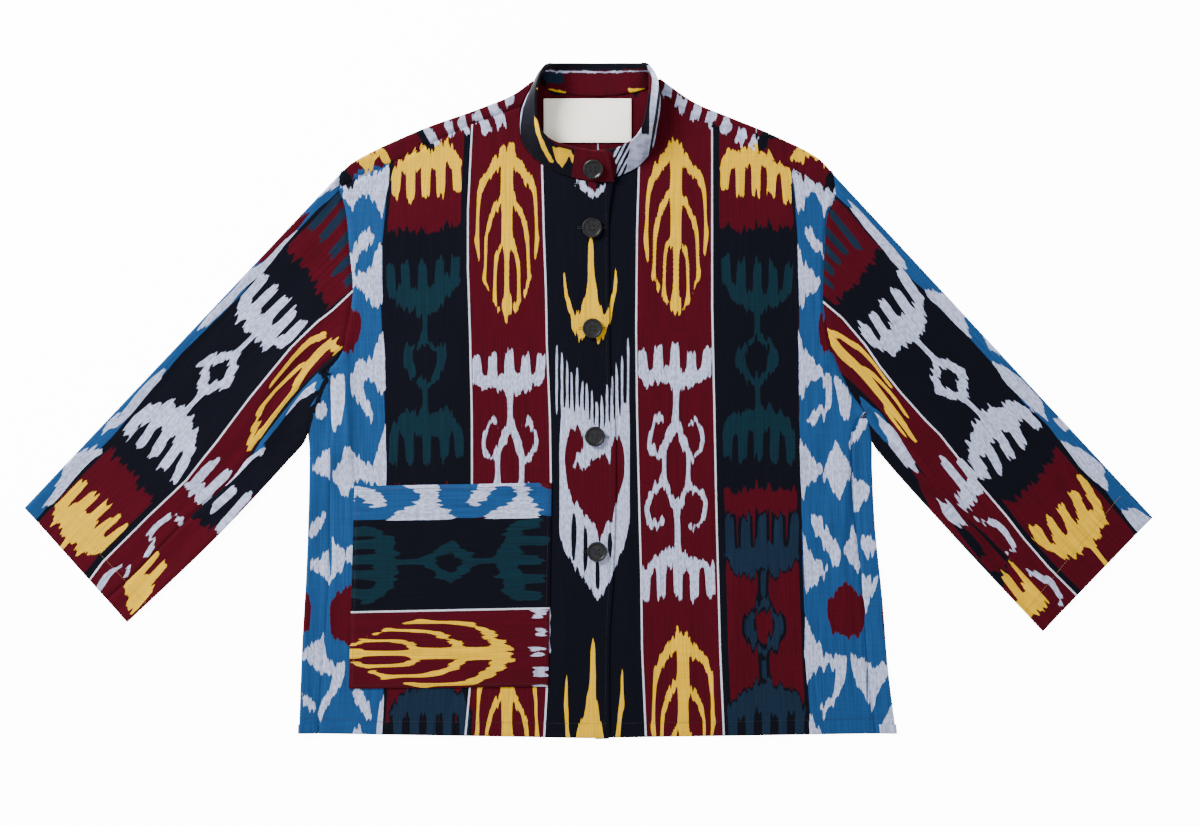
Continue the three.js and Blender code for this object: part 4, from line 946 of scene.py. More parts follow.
def over_sleeve_chart():
    """The upper layer of the wearer's right sleeve, and the line between its black and burgundy bands."""
    chart = Chart((15, 140), (365, 640), along=(-0.675, 0.738), seed=23)
    patch, thread = chart.patch, chart.thread
    line_a = [(352, 176), (338, 192), (317, 210), (295, 234), (270, 260), (240, 297), (183, 352),
              (150, 393), (116, 433), (34, 522), (0, 558)]
    line_b = [(372, 272), (352, 292), (333, 310), (317, 322.5), (292, 347), (273, 370), (250, 398),
              (217, 442), (201, 462), (187, 480), (150, 515), (137, 528), (103, 562), (88, 582.5),
              (60, 612)]
    patch(BLUE, (400, 120), *line_a, (0, 100))
    patch(BLACK, *line_a, *line_b[::-1])
    patch(BURGUNDY, (287, 247), (296, 258), (308, 270), (314, 280), (322, 296), (326, 312), (350, 292),
          (372, 262), (360, 196), (338, 202), (317, 217), (300, 234))
    for tip, root in (((313, 227), (340, 196)), ((323, 238), (350, 206)), ((333, 254), (360, 222)),
                      ((339, 270), (366, 240)), ((346, 284), (372, 254))):
        thread(NAVY, 8, tip, root)
    comb(chart, WHITE, [(267, 275), (277, 286), (288, 297), (297, 309), (304, 322)],
         [(250, 301), (262, 313), (273, 322), (283, 336)],
         [(240, 297), (239, 312), (243, 324), (250, 333), (258, 341), (268, 347), (282, 349), (293, 341)])
    thread(WHITE, 4.5, (254, 336), (236, 353))
    local_ring(chart, WHITE, BLACK, (218, 371), (240, 350), (199, 397), 20, 0.5)
    thread(WHITE, 4.5, (202, 394), (184, 414))
    comb(chart, WHITE, [(128, 436), (140, 447), (152, 458), (163, 469), (173, 483)],
         [(148, 420), (161, 428), (174, 439), (184, 452)],
         [(122, 432), (134, 416), (150, 403), (168, 401), (182, 406), (192, 416), (197, 430), (194, 452)])
    patch(BURGUNDY, (112, 446), (122, 463), (131, 470), (140, 484), (153, 505), (98, 563), (84, 580),
          (20, 640), (0, 600), (0, 560), (38, 524), (60, 498))
    comb(chart, YELLOW, [(86, 480), (98, 492), (109, 503), (118, 516), (126, 528)],
         [(74, 503), (86, 514), (96, 524), (105, 536)],
         [(55, 503), (56, 520), (62, 532), (71, 540), (80, 550), (90, 557), (104, 553)])
    thread(YELLOW, 4.5, (73, 535), (50, 562))
    thread(BLACK, 3.5, (116, 436), (76, 478), (36, 523), (10, 552))
    thread(BLACK, 6, (150, 510), (134, 525), (100, 559), (84, 579), (56, 608))

    # strip along the upper fold
    patch(BURGUNDY, (304, 211), (308, 217), (266, 266), (258, 262))
    patch(WHITE, (346, 168), (352, 176), (330, 192), (318, 196), (326, 184))
    thread(WHITE, (2, 4, 6, 3), (299, 229), (284, 244), (262, 270), (238, 292))
    patch(WHITE, (258, 264), (262, 268), (246, 286), (232, 304), (218, 316), (204, 330), (196, 330),
          (214, 310), (232, 292), (244, 276))
    patch(WHITE, (164, 368), (166, 374), (150, 392), (134, 412), (122, 424), (116, 424), (130, 402),
          (146, 384))
    patch(WHITE, (118, 414), (122, 420), (112, 430), (100, 434), (108, 422))
    patch(WHITE, (101, 446), (104, 452), (88, 464), (72, 482), (54, 504), (44, 506), (58, 484), (64, 468),
          (74, 454), (88, 450))

    # burgundy band: half leaf, half comb and two hooks
    for widths, places in (
            ((11, 10, 8, 7, 7, 7, 5), ((338, 352), (332, 344), (322, 350), (306, 368), (290, 398),
                                         (274, 418), (258, 438))),
            ((7, 5, 4, 3, 3), ((326, 334), (312, 339), (296, 355), (282, 372), (271, 386))),
            ((6, 4, 3, 3), ((306, 362), (294, 372), (278, 388), (266, 402))),
            ((4, 4, 6, 4), ((266, 402), (260, 412), (253, 432), (249, 446))),
            ((5, 4, 4), ((262, 430), (254, 442), (248, 452)))):
        thread(YELLOW, widths, *places)
    for places in (((214, 462), (198, 480)), ((227, 474), (206, 494))):
        thread(WHITE, 9, *places)
    patch(WHITE, (186, 482), (196, 478), (212, 492), (216, 500), (204, 512), (198, 504), (190, 496))
    thread(WHITE, (5, 6, 6, 5, 5, 5, 4), (147, 556), (152, 546), (151, 534), (158, 524), (170, 517),
           (181, 519), (180, 527))
    thread(WHITE, (4, 6, 6, 5, 5, 4), (98, 594), (102, 584), (108, 574), (118, 568), (128, 570), (127, 576))
    return chart.soak(), line_b, LINE_PLACES[0]


def over_sleeve_wrap_chart():
    """What comes round the lower fold of that sleeve, beyond its seam."""
    chart = Chart((90, 340), (350, 640), along=(-0.675, 0.738), seed=29)
    patch, thread = chart.patch, chart.thread
    patch(BLACK, (350, 340), (350, 420), (212, 528), (190, 518), (240, 440))
    patch(BLUE, (318, 372), (300, 392), (262, 440), (252, 458), (264, 452), (284, 434), (330, 388))
    patch(WHITE, (306, 388), (318, 380), (312, 398), (288, 424), (276, 432), (290, 408))
    patch(BLACK, (300, 400), (322, 390), (292, 436), (268, 458), (262, 446))
    thread(WHITE, (6, 5, 3, 2), (262, 452), (250, 459), (237, 474), (226, 486))
    for places in (((236, 488), (214, 508)), ((250, 494), (222, 526))):
        thread(WHITE, 8, *places)
    for places in (((157, 553), (140, 573)), ((166, 563), (148, 583))):
        thread(YELLOW, 8, *places)
    patch(YELLOW, (124, 577), (142, 570), (156, 588), (146, 600), (134, 614), (126, 600))
    return chart.soak()


def under_sleeve_chart():
    """The upper layer of the wearer's left sleeve, and the same line."""
    chart = Chart((815, 140), (1160, 660), along=(0.668, 0.744), seed=31)
    patch, thread = chart.patch, chart.thread
    line_a = [(820, 180), (836, 196), (853, 212), (883, 247), (907, 275), (925, 292), (950, 318), (973, 343),
              (990, 362), (1010, 385), (1023, 403), (1047, 425), (1060, 442), (1082, 470), (1107, 493),
              (1122, 513), (1140, 533), (1168, 562)]
    line_b = [(804, 283), (823, 302), (842, 318), (865, 345), (880, 367), (900, 392), (925, 420), (940, 435),
              (958, 458), (973, 477), (1007, 517), (1023, 538), (1048, 567), (1078, 597), (1104, 624)]
    patch(BLUE, (790, 100), *line_a, (1200, 560), (1200, 100))
    patch(BLACK, *line_a, *line_b[::-1])
    patch(BURGUNDY, (883, 251), (868, 262), (866, 270), (857, 284), (842, 292), (834, 304), (812, 290),
          (800, 230), (838, 200), (852, 215), (872, 240))
    for tip, root in (((857, 246), (830, 212)), ((845, 252), (818, 222)), ((838, 262), (812, 234)),
                      ((832, 272), (806, 246)), ((826, 282), (802, 260))):
        thread(NAVY, 7, tip, root)
    comb(chart, WHITE, [(902, 274), (892, 287), (881, 301), (871, 312), (860, 322)],
         [(912, 302), (902, 316), (890, 328), (878, 338)],
         [(924, 297), (925, 316), (922, 334), (912, 343), (900, 349), (886, 352), (870, 344), (856, 330)])
    thread(WHITE, 4.5, (914, 338), (934, 359))
    local_ring(chart, WHITE, BLACK, (949, 380), (932, 356), (969, 404), 20, 0.5)
    thread(WHITE, 4.5, (965, 400), (986, 420))
    comb(chart, WHITE, [(1041, 430), (1024, 447), (1012, 459), (999, 470), (986, 481)],
         [(1018, 420), (1006, 432), (994, 442), (979, 453)],
         [(1036, 412), (1020, 405), (1004, 403), (990, 407), (978, 418), (969, 432), (966, 450), (972, 466)])
    patch(BURGUNDY, (1058, 448), (1047, 463), (1037, 483), (1022, 490), (1005, 504), (1024, 530),
          (1050, 560), (1082, 594), (1110, 640), (1170, 580), (1138, 536), (1104, 497), (1080, 473))
    comb(chart, YELLOW, [(1082, 476), (1071, 490), (1060, 505), (1046, 516), (1033, 525)],
         [(1090, 508), (1077, 522), (1065, 533), (1052, 543)],
         [(1101, 499), (1104, 516), (1100, 538), (1090, 546), (1071, 556), (1049, 553), (1032, 540)])
    thread(YELLOW, 4.5, (1089, 543), (1112, 572))
    thread(BLACK, 3.5, (1058, 445), (1080, 472), (1105, 496), (1138, 536), (1160, 562))
    thread(BLACK, 5, (1004, 508), (1022, 532), (1050, 564), (1080, 594), (1100, 616))

    # strip along the upper fold
    for shape in (((848, 200), (862, 213), (878, 231), (892, 247), (906, 263), (904, 273), (892, 262),
                   (880, 246), (866, 230), (852, 212)),
                  ((924, 288), (940, 294), (956, 302), (966, 318), (971, 339), (958, 328), (944, 312),
                   (930, 300)),
                  ((984, 336), (992, 344), (1000, 356), (990, 352)),
                  ((990, 360), (1002, 366), (1014, 374), (1026, 384), (1042, 402), (1048, 422), (1036, 412),
                   (1022, 400), (1006, 384)),
                  ((1058, 416), (1070, 430), (1066, 434), (1056, 424)),
                  ((1058, 438), (1072, 446), (1088, 454), (1104, 467), (1109, 492), (1096, 484), (1080, 468)),
                  ((1120, 510), (1136, 510), (1156, 520), (1142, 537), (1130, 524))):
        patch(WHITE, *shape)

    # burgundy band: half leaf, half comb and two hooks
    for widths, places in (
            ((5, 9, 9, 8, 8, 7, 6, 4), ((826, 330), (832, 340), (842, 354), (858, 368), (872, 384),
                                           (886, 402), (900, 420), (914, 440))),
            ((6, 5, 4, 3, 2.5), ((832, 333), (844, 339), (862, 351), (874, 364), (890, 386))),
            ((5, 4, 3, 3, 2.5), ((860, 368), (872, 374), (884, 386), (896, 400), (908, 418))),
            ((5, 3, 3), ((884, 404), (892, 420), (904, 434)))):
        thread(YELLOW, widths, *places)
    for places in (((944, 462), (962, 484)), ((962, 464), (976, 480))):
        thread(WHITE, 8, *places)
    patch(WHITE, (958, 488), (974, 476), (982, 490), (976, 502), (966, 512), (956, 504))
    thread(WHITE, (5, 6, 6, 6, 5, 4), (979, 521), (992, 522), (1002, 529), (1009, 537), (1013, 547),
           (1008, 558))
    thread(WHITE, (5, 6, 6, 5, 4), (1027, 571), (1040, 577), (1053, 584), (1059, 594), (1060, 608))
    return chart.soak(), line_b, LINE_PLACES[-1]


def under_sleeve_wrap_chart():
    """What comes round the lower fold of that sleeve, beyond its seam."""
    chart = Chart((820, 360), (1100, 660), along=(0.668, 0.744), seed=37)
    patch, thread = chart.patch, chart.thread
    patch(BLACK, (820, 360), (848, 372), (1010, 560), (1000, 600), (860, 480))
    patch(BURGUNDY, (910, 464), (930, 480), (1010, 566), (990, 572), (930, 510))
    patch(BLUE, (858, 396), (880, 412), (900, 440), (894, 452), (870, 426))
    patch(WHITE, (876, 414), (892, 426), (912, 456), (918, 474), (904, 466), (888, 444))
    patch(WHITE, (936, 500), (950, 502), (966, 524), (958, 530), (944, 516))
    patch(BLACK, (952, 524), (968, 530), (986, 552), (980, 560))
    for places in (((1014, 562), (1030, 584)), ((1004, 575), (1018, 594))):
        thread(YELLOW, 8, *places)
    patch(YELLOW, (1024, 584), (1040, 586), (1048, 600), (1040, 614), (1028, 618), (1014, 604))
    return chart.soak()


def pocket_chart():
    """The pocket, whose warp runs across the jacket."""
    chart = Chart((340, 475), (562, 697), along=(1, 0), seed=41)
    patch, thread = chart.patch, chart.thread
    patch(BLUE, (330, 470), (570, 470), (570, 515), (330, 520))
    patch(BLACK, (330, 520.5), (570, 515.5), (570, 608), (330, 612))
    patch(BURGUNDY, (536, 475), (570, 475), (570, 494), (552, 492), (540, 486))
    for shape in (((350, 484), (362, 487), (376, 492), (382, 500), (386, 507), (374, 508), (362, 500),
                   (354, 494), (348, 490)),
                  ((402, 484), (438, 484), (434, 495), (438, 504), (452, 511), (458, 519), (382, 521),
                   (398, 514), (412, 504), (420, 495), (412, 489)),
                  ((482, 484), (494, 486), (486, 494), (480, 502), (474, 507), (464, 504), (468, 496)),
                  ((478, 483), (524, 482), (524, 485), (480, 486)),
                  ((512, 486), (528, 486), (524, 495), (534, 504), (544, 512), (540, 518), (480, 519),
                   (494, 512), (508, 502), (516, 494))):
        patch(WHITE, *shape)
    thread(WHITE, 3, (350, 488), (350, 520))
    comb(chart, TEAL, [(344, 532), (346, 545), (344, 560), (346, 574), (346, 592)],
         [(372, 537), (374, 551), (374, 567), (372, 583)],
         [(366, 525), (380, 530), (392, 542), (399, 556), (398, 574), (390, 590), (376, 602), (362, 606)],
         width=10)
    thread(TEAL, 5, (396, 562), (427, 561))
    local_ring(chart, TEAL, BLACK, (449, 562), (420, 562), (482, 561), 22, 0.5)
    thread(TEAL, 5, (478, 561), (502, 560))
    comb(chart, TEAL, [(543, 522), (546, 541), (543, 560), (546, 578), (543, 596)],
         [(521, 531), (520, 550), (520, 569), (522, 588)],
         [(522, 519), (510, 526), (501, 538), (497, 552), (497, 572), (502, 586), (512, 598), (524, 602)],
         width=10)
    leaf(chart, lambda x, y: (511 - y * 0.98, 653 + x * 1.06))
    for low, high in ((608, 619), (627, 637), (646, 657), (666, 677), (684, 690)):
        patch(WHITE, (530, low), (547, low + 1), (543, (low + high) / 2), (546, high), (532, high - 1),
              (536, (low + high) / 2))
    return chart.soak()


def collar_chart():
    """Both sides of the collar, seen from above."""
    chart = Chart((510, 55), (672, 192), seed=43, ragged=0.3)
    patch, thread = chart.patch, chart.thread
    patch(BLACK, (552, 62), (530, 76), (515, 128), (522, 150), (545, 172), (577, 186), (578, 152), (560, 148),
          (548, 140), (541, 120), (543, 96), (548, 76))
    patch(BLACK, (545, 60), (652, 60), (652, 71), (545, 71))
    thread(WHITE, 1.8, (546, 72.5), (648, 72.5))
    patch(NAVY, (542, 74), (563, 74), (564, 84), (546, 84))
    for shape in (((536, 91), (552, 89), (567, 92), (560, 95), (540, 96)),
                  ((627, 89), (646, 88), (645, 93), (630, 94)),
                  ((534, 118), (538, 122), (541, 136), (548, 152), (555, 164), (550, 164), (542, 150),
                   (536, 134)),
                  ((552, 148), (564, 150), (572, 152), (566, 162), (562, 168), (556, 160)),
                  ((569, 152), (576, 158), (582, 172), (576, 170), (571, 162))):
        patch(YELLOW, *shape)
    thread(WHITE, 2.4, (535, 76), (522, 108), (519, 128), (520, 140))
    patch(BLACK, (604, 146), (650, 146), (650, 182), (604, 182))
    for k in range(8):
        thread(WHITE, 2.4, (600 + 5.2 * k, 182), (620 + 5.2 * k, 146))
    patch(BURGUNDY, (576, 146), (600, 148), (612, 154), (617, 168), (614, 188), (570, 188))
    patch(WHITE, (632, 122), (645, 118), (652, 120), (652, 160), (636, 174), (626, 172), (630, 150))
    patch(WHITE, (646, 68), (652, 68), (659, 80), (655, 122), (648, 160), (643, 150), (649, 112), (652, 80))
    patch(BLACK, (656, 76), (668, 84), (662, 124), (650, 160), (648, 158), (654, 122), (659, 84))
    patch(BLACK, (640, 94), (649, 94), (649, 136), (641, 136))
    thread(WHITE, 2.2, (663, 82), (658, 122), (653, 148))
    return chart.soak()


# ---------------------------------------------------------------- finishes

def linear(red, green, blue):
    """Shader colour for a dye given in ordinary 0 to 255 steps."""
    steps = [value / 255 for value in (red, green, blue)]
    return tuple(v / 12.92 if v <= 0.04045 else ((v + 0.055) / 1.055) ** 2.4 for v in steps) + (1.0,)


# The dyes' colours, in the charts' order
GROUND_DYE = (0.0400, 0.0004, 0.0040)   # burgundy
DYES = [
    (0.0068, 0.0385, 0.120), (0.0011, 0.0013, 0.0042), (0.0020, 0.0120, 0.0195),   # blue, black, teal
    (0.0038, 0.0110, 0.0245), (0.510, 0.292, 0.003), (0.335, 0.365, 0.520),        # navy, yellow, white
]
WARP_LINE_WHITE, FLECK_GREY = (0.40, 0.42, 0.50, 1), (0.10, 0.125, 0.19, 1)
WARP_LINE_HALF = 0.0009   # metres
DYE_SOFTNESS = 1.2        # millimetres from no dye to full dye
THREAD_PITCH = 0.0011     # metres, of the ikat's warp and weft


def feed(tree, made, values):
    """Gives inputs, by name or number, a plain value or a link."""
    for name, value in values.items():
        if isinstance(value, bpy.types.NodeSocket):
            tree.links.new(value, made.inputs[name])
        else:
            made.inputs[name].default_value = value
    return made


def node(tree, kind, values=(), **settings):
    """A new node with its settings and inputs."""
    made = tree.nodes.new(kind)
    for name, value in settings.items():
        setattr(made, name, value)
    return feed(tree, made, dict(values))


def math_node(tree, operation, *values, clamp=False):
    values = dict(enumerate(values))
    return node(tree, "ShaderNodeMath", values, operation=operation, use_clamp=clamp).outputs[0]


def mix_colour(tree, factor, first, second, blend="MIX"):
    values = {0: factor, 6: first, 7: second}
    return node(tree, "ShaderNodeMix", values, data_type="RGBA", blend_type=blend).outputs[2]


def noise(tree, vector, scale, detail=1.0):
    values = {"Vector": vector, "Scale": scale, "Detail": detail, "Roughness": 0.5}
    return node(tree, "ShaderNodeTexNoise", values, noise_dimensions="3D").outputs["Fac"]


def spread_over(tree, value, start, stop, low, high):
    """The value's stretch from start to stop, stretched from low to high."""
    return node(tree, "ShaderNodeMapRange", {0: value, 1: start, 2: stop, 3: low, 4: high}).outputs[0]


def grey_of(tree, value):
    return node(tree, "ShaderNodeCombineXYZ", {0: value, 1: value, 2: value}).outputs[0]


def rough_relief(tree, shader, height, strength, depth):
    """Fine relief of a finish, by bump alone."""
    lift = node(tree, "ShaderNodeBump", {"Strength": strength, "Distance": depth, "Height": height})
    tree.links.new(lift.outputs[0], shader.inputs["Normal"])


def new_group(name, inputs, outputs):
    """A shader node group with its named inputs and outputs."""
    group = bpy.data.node_groups.new(name, "ShaderNodeTree")
    for title, kind in inputs:
        group.interface.new_socket(title, in_out="INPUT", socket_type=kind)
    for title, kind in outputs:
        group.interface.new_socket(title, in_out="OUTPUT", socket_type=kind)
    return group, group.nodes.new("NodeGroupInput"), group.nodes.new("NodeGroupOutput")


def place_group(tree, group, values):
    return node(tree, "ShaderNodeGroup", values, node_tree=group)


FLOAT, VECTOR = "NodeSocketFloat", "NodeSocketVector"


def woven_group():
    """Threads of a plain weave on a cloth map in metres: U across the warp, V along it."""
    group, given, result = new_group(
        "woven_threads",
        [("Cloth map", VECTOR), ("Warp pitch", FLOAT), ("Weft pitch", FLOAT), ("Ragged", FLOAT)],
        [("Ragged ends", FLOAT), ("Streaks", FLOAT), ("Slubs", FLOAT), ("Flecks", FLOAT), ("Height", FLOAT)])
    cloth, warp, weft = (given.outputs[k] for k in range(3))
    parts = node(group, "ShaderNodeSeparateXYZ", {0: cloth}).outputs
    across = math_node(group, "DIVIDE", parts[0], warp)
    along = math_node(group, "DIVIDE", parts[1], weft)
    index = math_node(group, "FLOOR", across)
    bundle_index = math_node(group, "FLOOR", math_node(group, "MULTIPLY", across, 0.41))
    single, bundle = (
        node(group, "ShaderNodeTexWhiteNoise", {"W": number}, noise_dimensions="1D").outputs["Value"]
        for number in (index, bundle_index))

    def stretched(per_warp, per_weft, detail=1.0):
        """Noise that changes so fast from thread to thread across the warp and along it."""
        place = {0: math_node(group, "MULTIPLY", across, per_warp),
                 1: math_node(group, "MULTIPLY", along, per_weft)}
        return noise(group, node(group, "ShaderNodeCombineXYZ", place).outputs[0], 1.0, detail)

    def centred(value):
        return math_node(group, "SUBTRACT", value, 0.5)

    ends = math_node(group, "ADD", centred(bundle), math_node(group, "MULTIPLY", centred(single), 0.5))
    ends = math_node(group, "ADD", ends, centred(stretched(0.42, 0.012)))
    streaks, slubs, flecks = stretched(0.7, 0.02, 2.0), stretched(0.03, 0.6), stretched(0.55, 0.22)
    height = math_node(group, "ADD", math_node(group, "ADD", streaks, flecks),
                       math_node(group, "MULTIPLY", slubs, 0.6))
    for name, value in (("Ragged ends", math_node(group, "MULTIPLY", ends, given.outputs[3])),
                        ("Streaks", streaks), ("Slubs", slubs), ("Flecks", flecks), ("Height", height)):
        group.links.new(value, result.inputs[name])
    return group


def dye_group():
    """Mask of one dye: its reach along the warp, made ragged by the threads."""
    group, given, result = new_group("dye_edge", [("Reach", FLOAT), ("Ragged ends", FLOAT), ("Soft", FLOAT)],
                                     [("Mask", FLOAT)])
    off = math_node(group, "ADD", given.outputs[0], given.outputs[1])
    off = math_node(group, "ADD", math_node(group, "DIVIDE", off, given.outputs[2]), 0.5, clamp=True)
    group.links.new(off, result.inputs[0])
    return group


def warp_line_group():
    """Mask of one plain warp line of the loom's repeat."""
    group, given, result = new_group("warp_line", [("U", FLOAT), ("Place", FLOAT), ("Half width", FLOAT)],
                                     [("Mask", FLOAT)])
    off = math_node(group, "ABSOLUTE", math_node(group, "SUBTRACT", given.outputs[0], given.outputs[1]))
    group.links.new(math_node(group, "LESS_THAN", off, given.outputs[2]), result.inputs[0])
    return group


WOVEN, DYE_EDGE, WARP_LINE = woven_group(), dye_group(), warp_line_group()


def new_material(name):
    """A material, its tree and its shader."""
    material = bpy.data.materials.new(name)
    material.use_nodes = True
    tree = material.node_tree
    shader = next(item for item in tree.nodes if item.type == "BSDF_PRINCIPLED")
    return material, tree, shader


def ikat_material(name, roughness, relief, ragged):
    """Warp-dyed cotton: the charts' dyes, the plain warp lines, and the threads' streaks and flecks."""
    material, tree, shader = new_material(name)
    cloth = node(tree, "ShaderNodeUVMap", uv_map="cloth").outputs["UV"]
    woven = place_group(tree, WOVEN, {"Cloth map": cloth, "Warp pitch": THREAD_PITCH,
                                      "Weft pitch": THREAD_PITCH, "Ragged": ragged}).outputs
    reach = []
    for title in ("dye_a", "dye_b"):
        attribute = node(tree, "ShaderNodeAttribute", attribute_name=title)
        reach += list(node(tree, "ShaderNodeSeparateXYZ", {0: attribute.outputs["Vector"]}).outputs)
    # The masks lie one within the other, so each one adds its dye less the dye before it.
    before, colour = GROUND_DYE, GROUND_DYE
    for dye, off in zip(DYES, reach):
        mask = place_group(tree, DYE_EDGE, {"Reach": off, "Ragged ends": woven["Ragged ends"],
                                            "Soft": DYE_SOFTNESS}).outputs[0]
        change = [b - a for a, b in zip(before, dye)]
        colour = node(tree, "ShaderNodeVectorMath", {0: mask, 1: change, 2: colour},
                      operation="MULTIPLY_ADD").outputs[0]
        before = dye
    u = node(tree, "ShaderNodeSeparateXYZ", {0: cloth}).outputs[0]
    for place in LINE_PLACES:
        line = place_group(tree, WARP_LINE, {"U": u, "Place": place * MM, "Half width": WARP_LINE_HALF})
        colour = mix_colour(tree, line.outputs[0], colour, WARP_LINE_WHITE)
    # The last mask is the white's, and only white cloth shows dark flecks.
    flecks = math_node(tree, "MULTIPLY", spread_over(tree, woven["Flecks"], 0.36, 0.60, 0.5, 0.0), mask)
    colour = mix_colour(tree, flecks, colour, FLECK_GREY)
    tone = math_node(tree, "MULTIPLY", spread_over(tree, woven["Streaks"], 0.3, 0.7, 0.80, 1.20),
                     spread_over(tree, woven["Slubs"], 0.3, 0.7, 0.94, 1.06))
    colour = mix_colour(tree, 1.0, colour, grey_of(tree, tone), "MULTIPLY")
    rough_relief(tree, shader, woven["Height"], relief, 0.0003)
    feed(tree, shader, {"Base Color": colour, "Roughness": roughness, "Sheen Weight": 0.03,
                        "Sheen Roughness": 0.5, "Specular IOR Level": 0.06})
    return material


def label_material():
    """Smooth cream tape."""
    material, tree, shader = new_material("label_tape")
    cloth = node(tree, "ShaderNodeUVMap", uv_map="cloth").outputs["UV"]
    woven = place_group(tree, WOVEN, {"Cloth map": cloth, "Warp pitch": 0.0005, "Weft pitch": 0.0004,
                                      "Ragged": 0.0}).outputs
    tone = spread_over(tree, woven["Streaks"], 0.3, 0.7, 0.0, 1.0)
    colour = mix_colour(tree, tone, (0.95, 0.91, 0.79, 1), (1.0, 0.97, 0.87, 1))
    rough_relief(tree, shader, woven["Height"], 0.3, 0.0001)
    feed(tree, shader, {"Base Color": colour, "Roughness": 0.6, "Sheen Weight": 0.1})
    return material


def button_material():
    """Satin charcoal resin, faintly clouded and scratched."""
    material, tree, shader = new_material("button_resin")
    place = node(tree, "ShaderNodeTexCoord").outputs["Object"]
    clouds = spread_over(tree, noise(tree, place, 240.0, 3.0), 0.35, 0.65, 0.0, 1.0)
    colour = mix_colour(tree, clouds, linear(10, 10, 12), linear(23, 23, 26))
    scratches = noise(tree, place, 1400.0, 2.0)
    rough_relief(tree, shader, scratches, 0.08, 0.0001)
    feed(tree, shader, {"Base Color": colour, "Specular IOR Level": 0.3,
                        "Roughness": spread_over(tree, scratches, 0.3, 0.7, 0.28, 0.42)})
    return material


def plain_thread_material(name, colour):
    """Sewing thread of one colour."""
    material, tree, shader = new_material(name)
    place = node(tree, "ShaderNodeTexCoord").outputs["Object"]
    fluff = noise(tree, place, 1500.0, 2.0)
    grey = grey_of(tree, spread_over(tree, fluff, 0.3, 0.7, 0.75, 1.2))
    rough_relief(tree, shader, fluff, 0.3, 0.0001)
    feed(tree, shader, {"Base Color": mix_colour(tree, 1.0, colour, grey, "MULTIPLY"), "Roughness": 0.8})
    return material


IKAT = ikat_material("ikat_cloth", roughness=0.88, relief=0.5, ragged=4.0)
COLLAR_CLOTH = ikat_material("collar_ikat_cloth", roughness=0.84, relief=0.4, ragged=1.0)

# ---------------------------------------------------------------- meshes


def cloth_u(points):
    """Place across the loom's repeat of places on the body's chart."""
    x, y = points[..., 0], points[..., 1]
    at = [np.interp(y, *np.array(line, float).T) for line, _ in BAND_LINES]
    place = [where for _, where in BAND_LINES]
    result = place[0] + x - at[0]
    for k in range(len(at) - 1):
        share = (x - at[k]) / (at[k + 1] - at[k])
        result = np.where(x > at[k], place[k] + share * (place[k + 1] - place[k]), result)
    return np.where(x > at[-1], place[-1] + x - at[-1], result)


def chart_points(flat):
    """Chart places of places on the jacket."""
    return flat[..., :2] * [1, -1] + CHART_CORNER


def grid_faces(nj, ni, ring=False):
    """Four-sided faces of a grid, closed round from its last column to its first for a ring."""
    wide = ni if ring else ni - 1
    j, i = np.meshgrid(np.arange(nj - 1), np.arange(wide), indexing="ij")
    return np.stack([(j + dj) * ni + (i + di) % ni for dj, di in ((0, 0), (0, 1), (1, 1), (1, 0))], axis=-1)


def new_object(name, data):
    made = bpy.data.objects.new(name, data)
    bpy.context.collection.objects.link(made)
    return made


def make_piece(name, points, faces, material, reach, cloth):
    """A mesh from points in millimetres, with the dyes' reach and the cloth map at its corners."""
    mesh = bpy.data.meshes.new(name)
    used = np.unique(faces)
    renumber = np.zeros(len(points), int)
    renumber[used] = np.arange(len(used))
    mesh.from_pydata((points[used] * MM).tolist(), [], renumber[faces].tolist())
    mesh.polygons.foreach_set("use_smooth", np.ones(len(faces), bool))
    layer = mesh.uv_layers.new(name="cloth")
    layer.data.foreach_set("uv", (cloth.reshape(-1, 2) * MM).astype(np.float32).ravel())
    if reach is not None:
        for title, part in (("dye_a", reach[..., :3]), ("dye_b", reach[..., 3:])):
            attribute = mesh.attributes.new(title, "FLOAT_VECTOR", "CORNER")
            attribute.data.foreach_set("vector", part.reshape(-1, 3).astype(np.float32).ravel())
    mesh.materials.append(material)
    mesh.update()
    return new_object(name, mesh)


def turned_edge(points, flat, facing_up=True, depth=TURNED_DEPTH):
    """Rows before row 0 that turn the cloth's edge round and in, away from its good side."""
    edge, into = points[0], unit(points[1] - points[0])
    run = np.gradient(edge, axis=0)
    normal = unit(np.cross(run, into))
    normal = normal * np.where((normal[:, 2:] > 0) == facing_up, 1, -1)
    turn = ((depth, TURNED_DROP), *TURNED_ROWS)
    rows = np.array([edge + into * inward - normal * down for inward, down in turn])
    return np.concatenate([rows, points]), np.concatenate([np.repeat(flat[:1], len(turn), axis=0), flat])


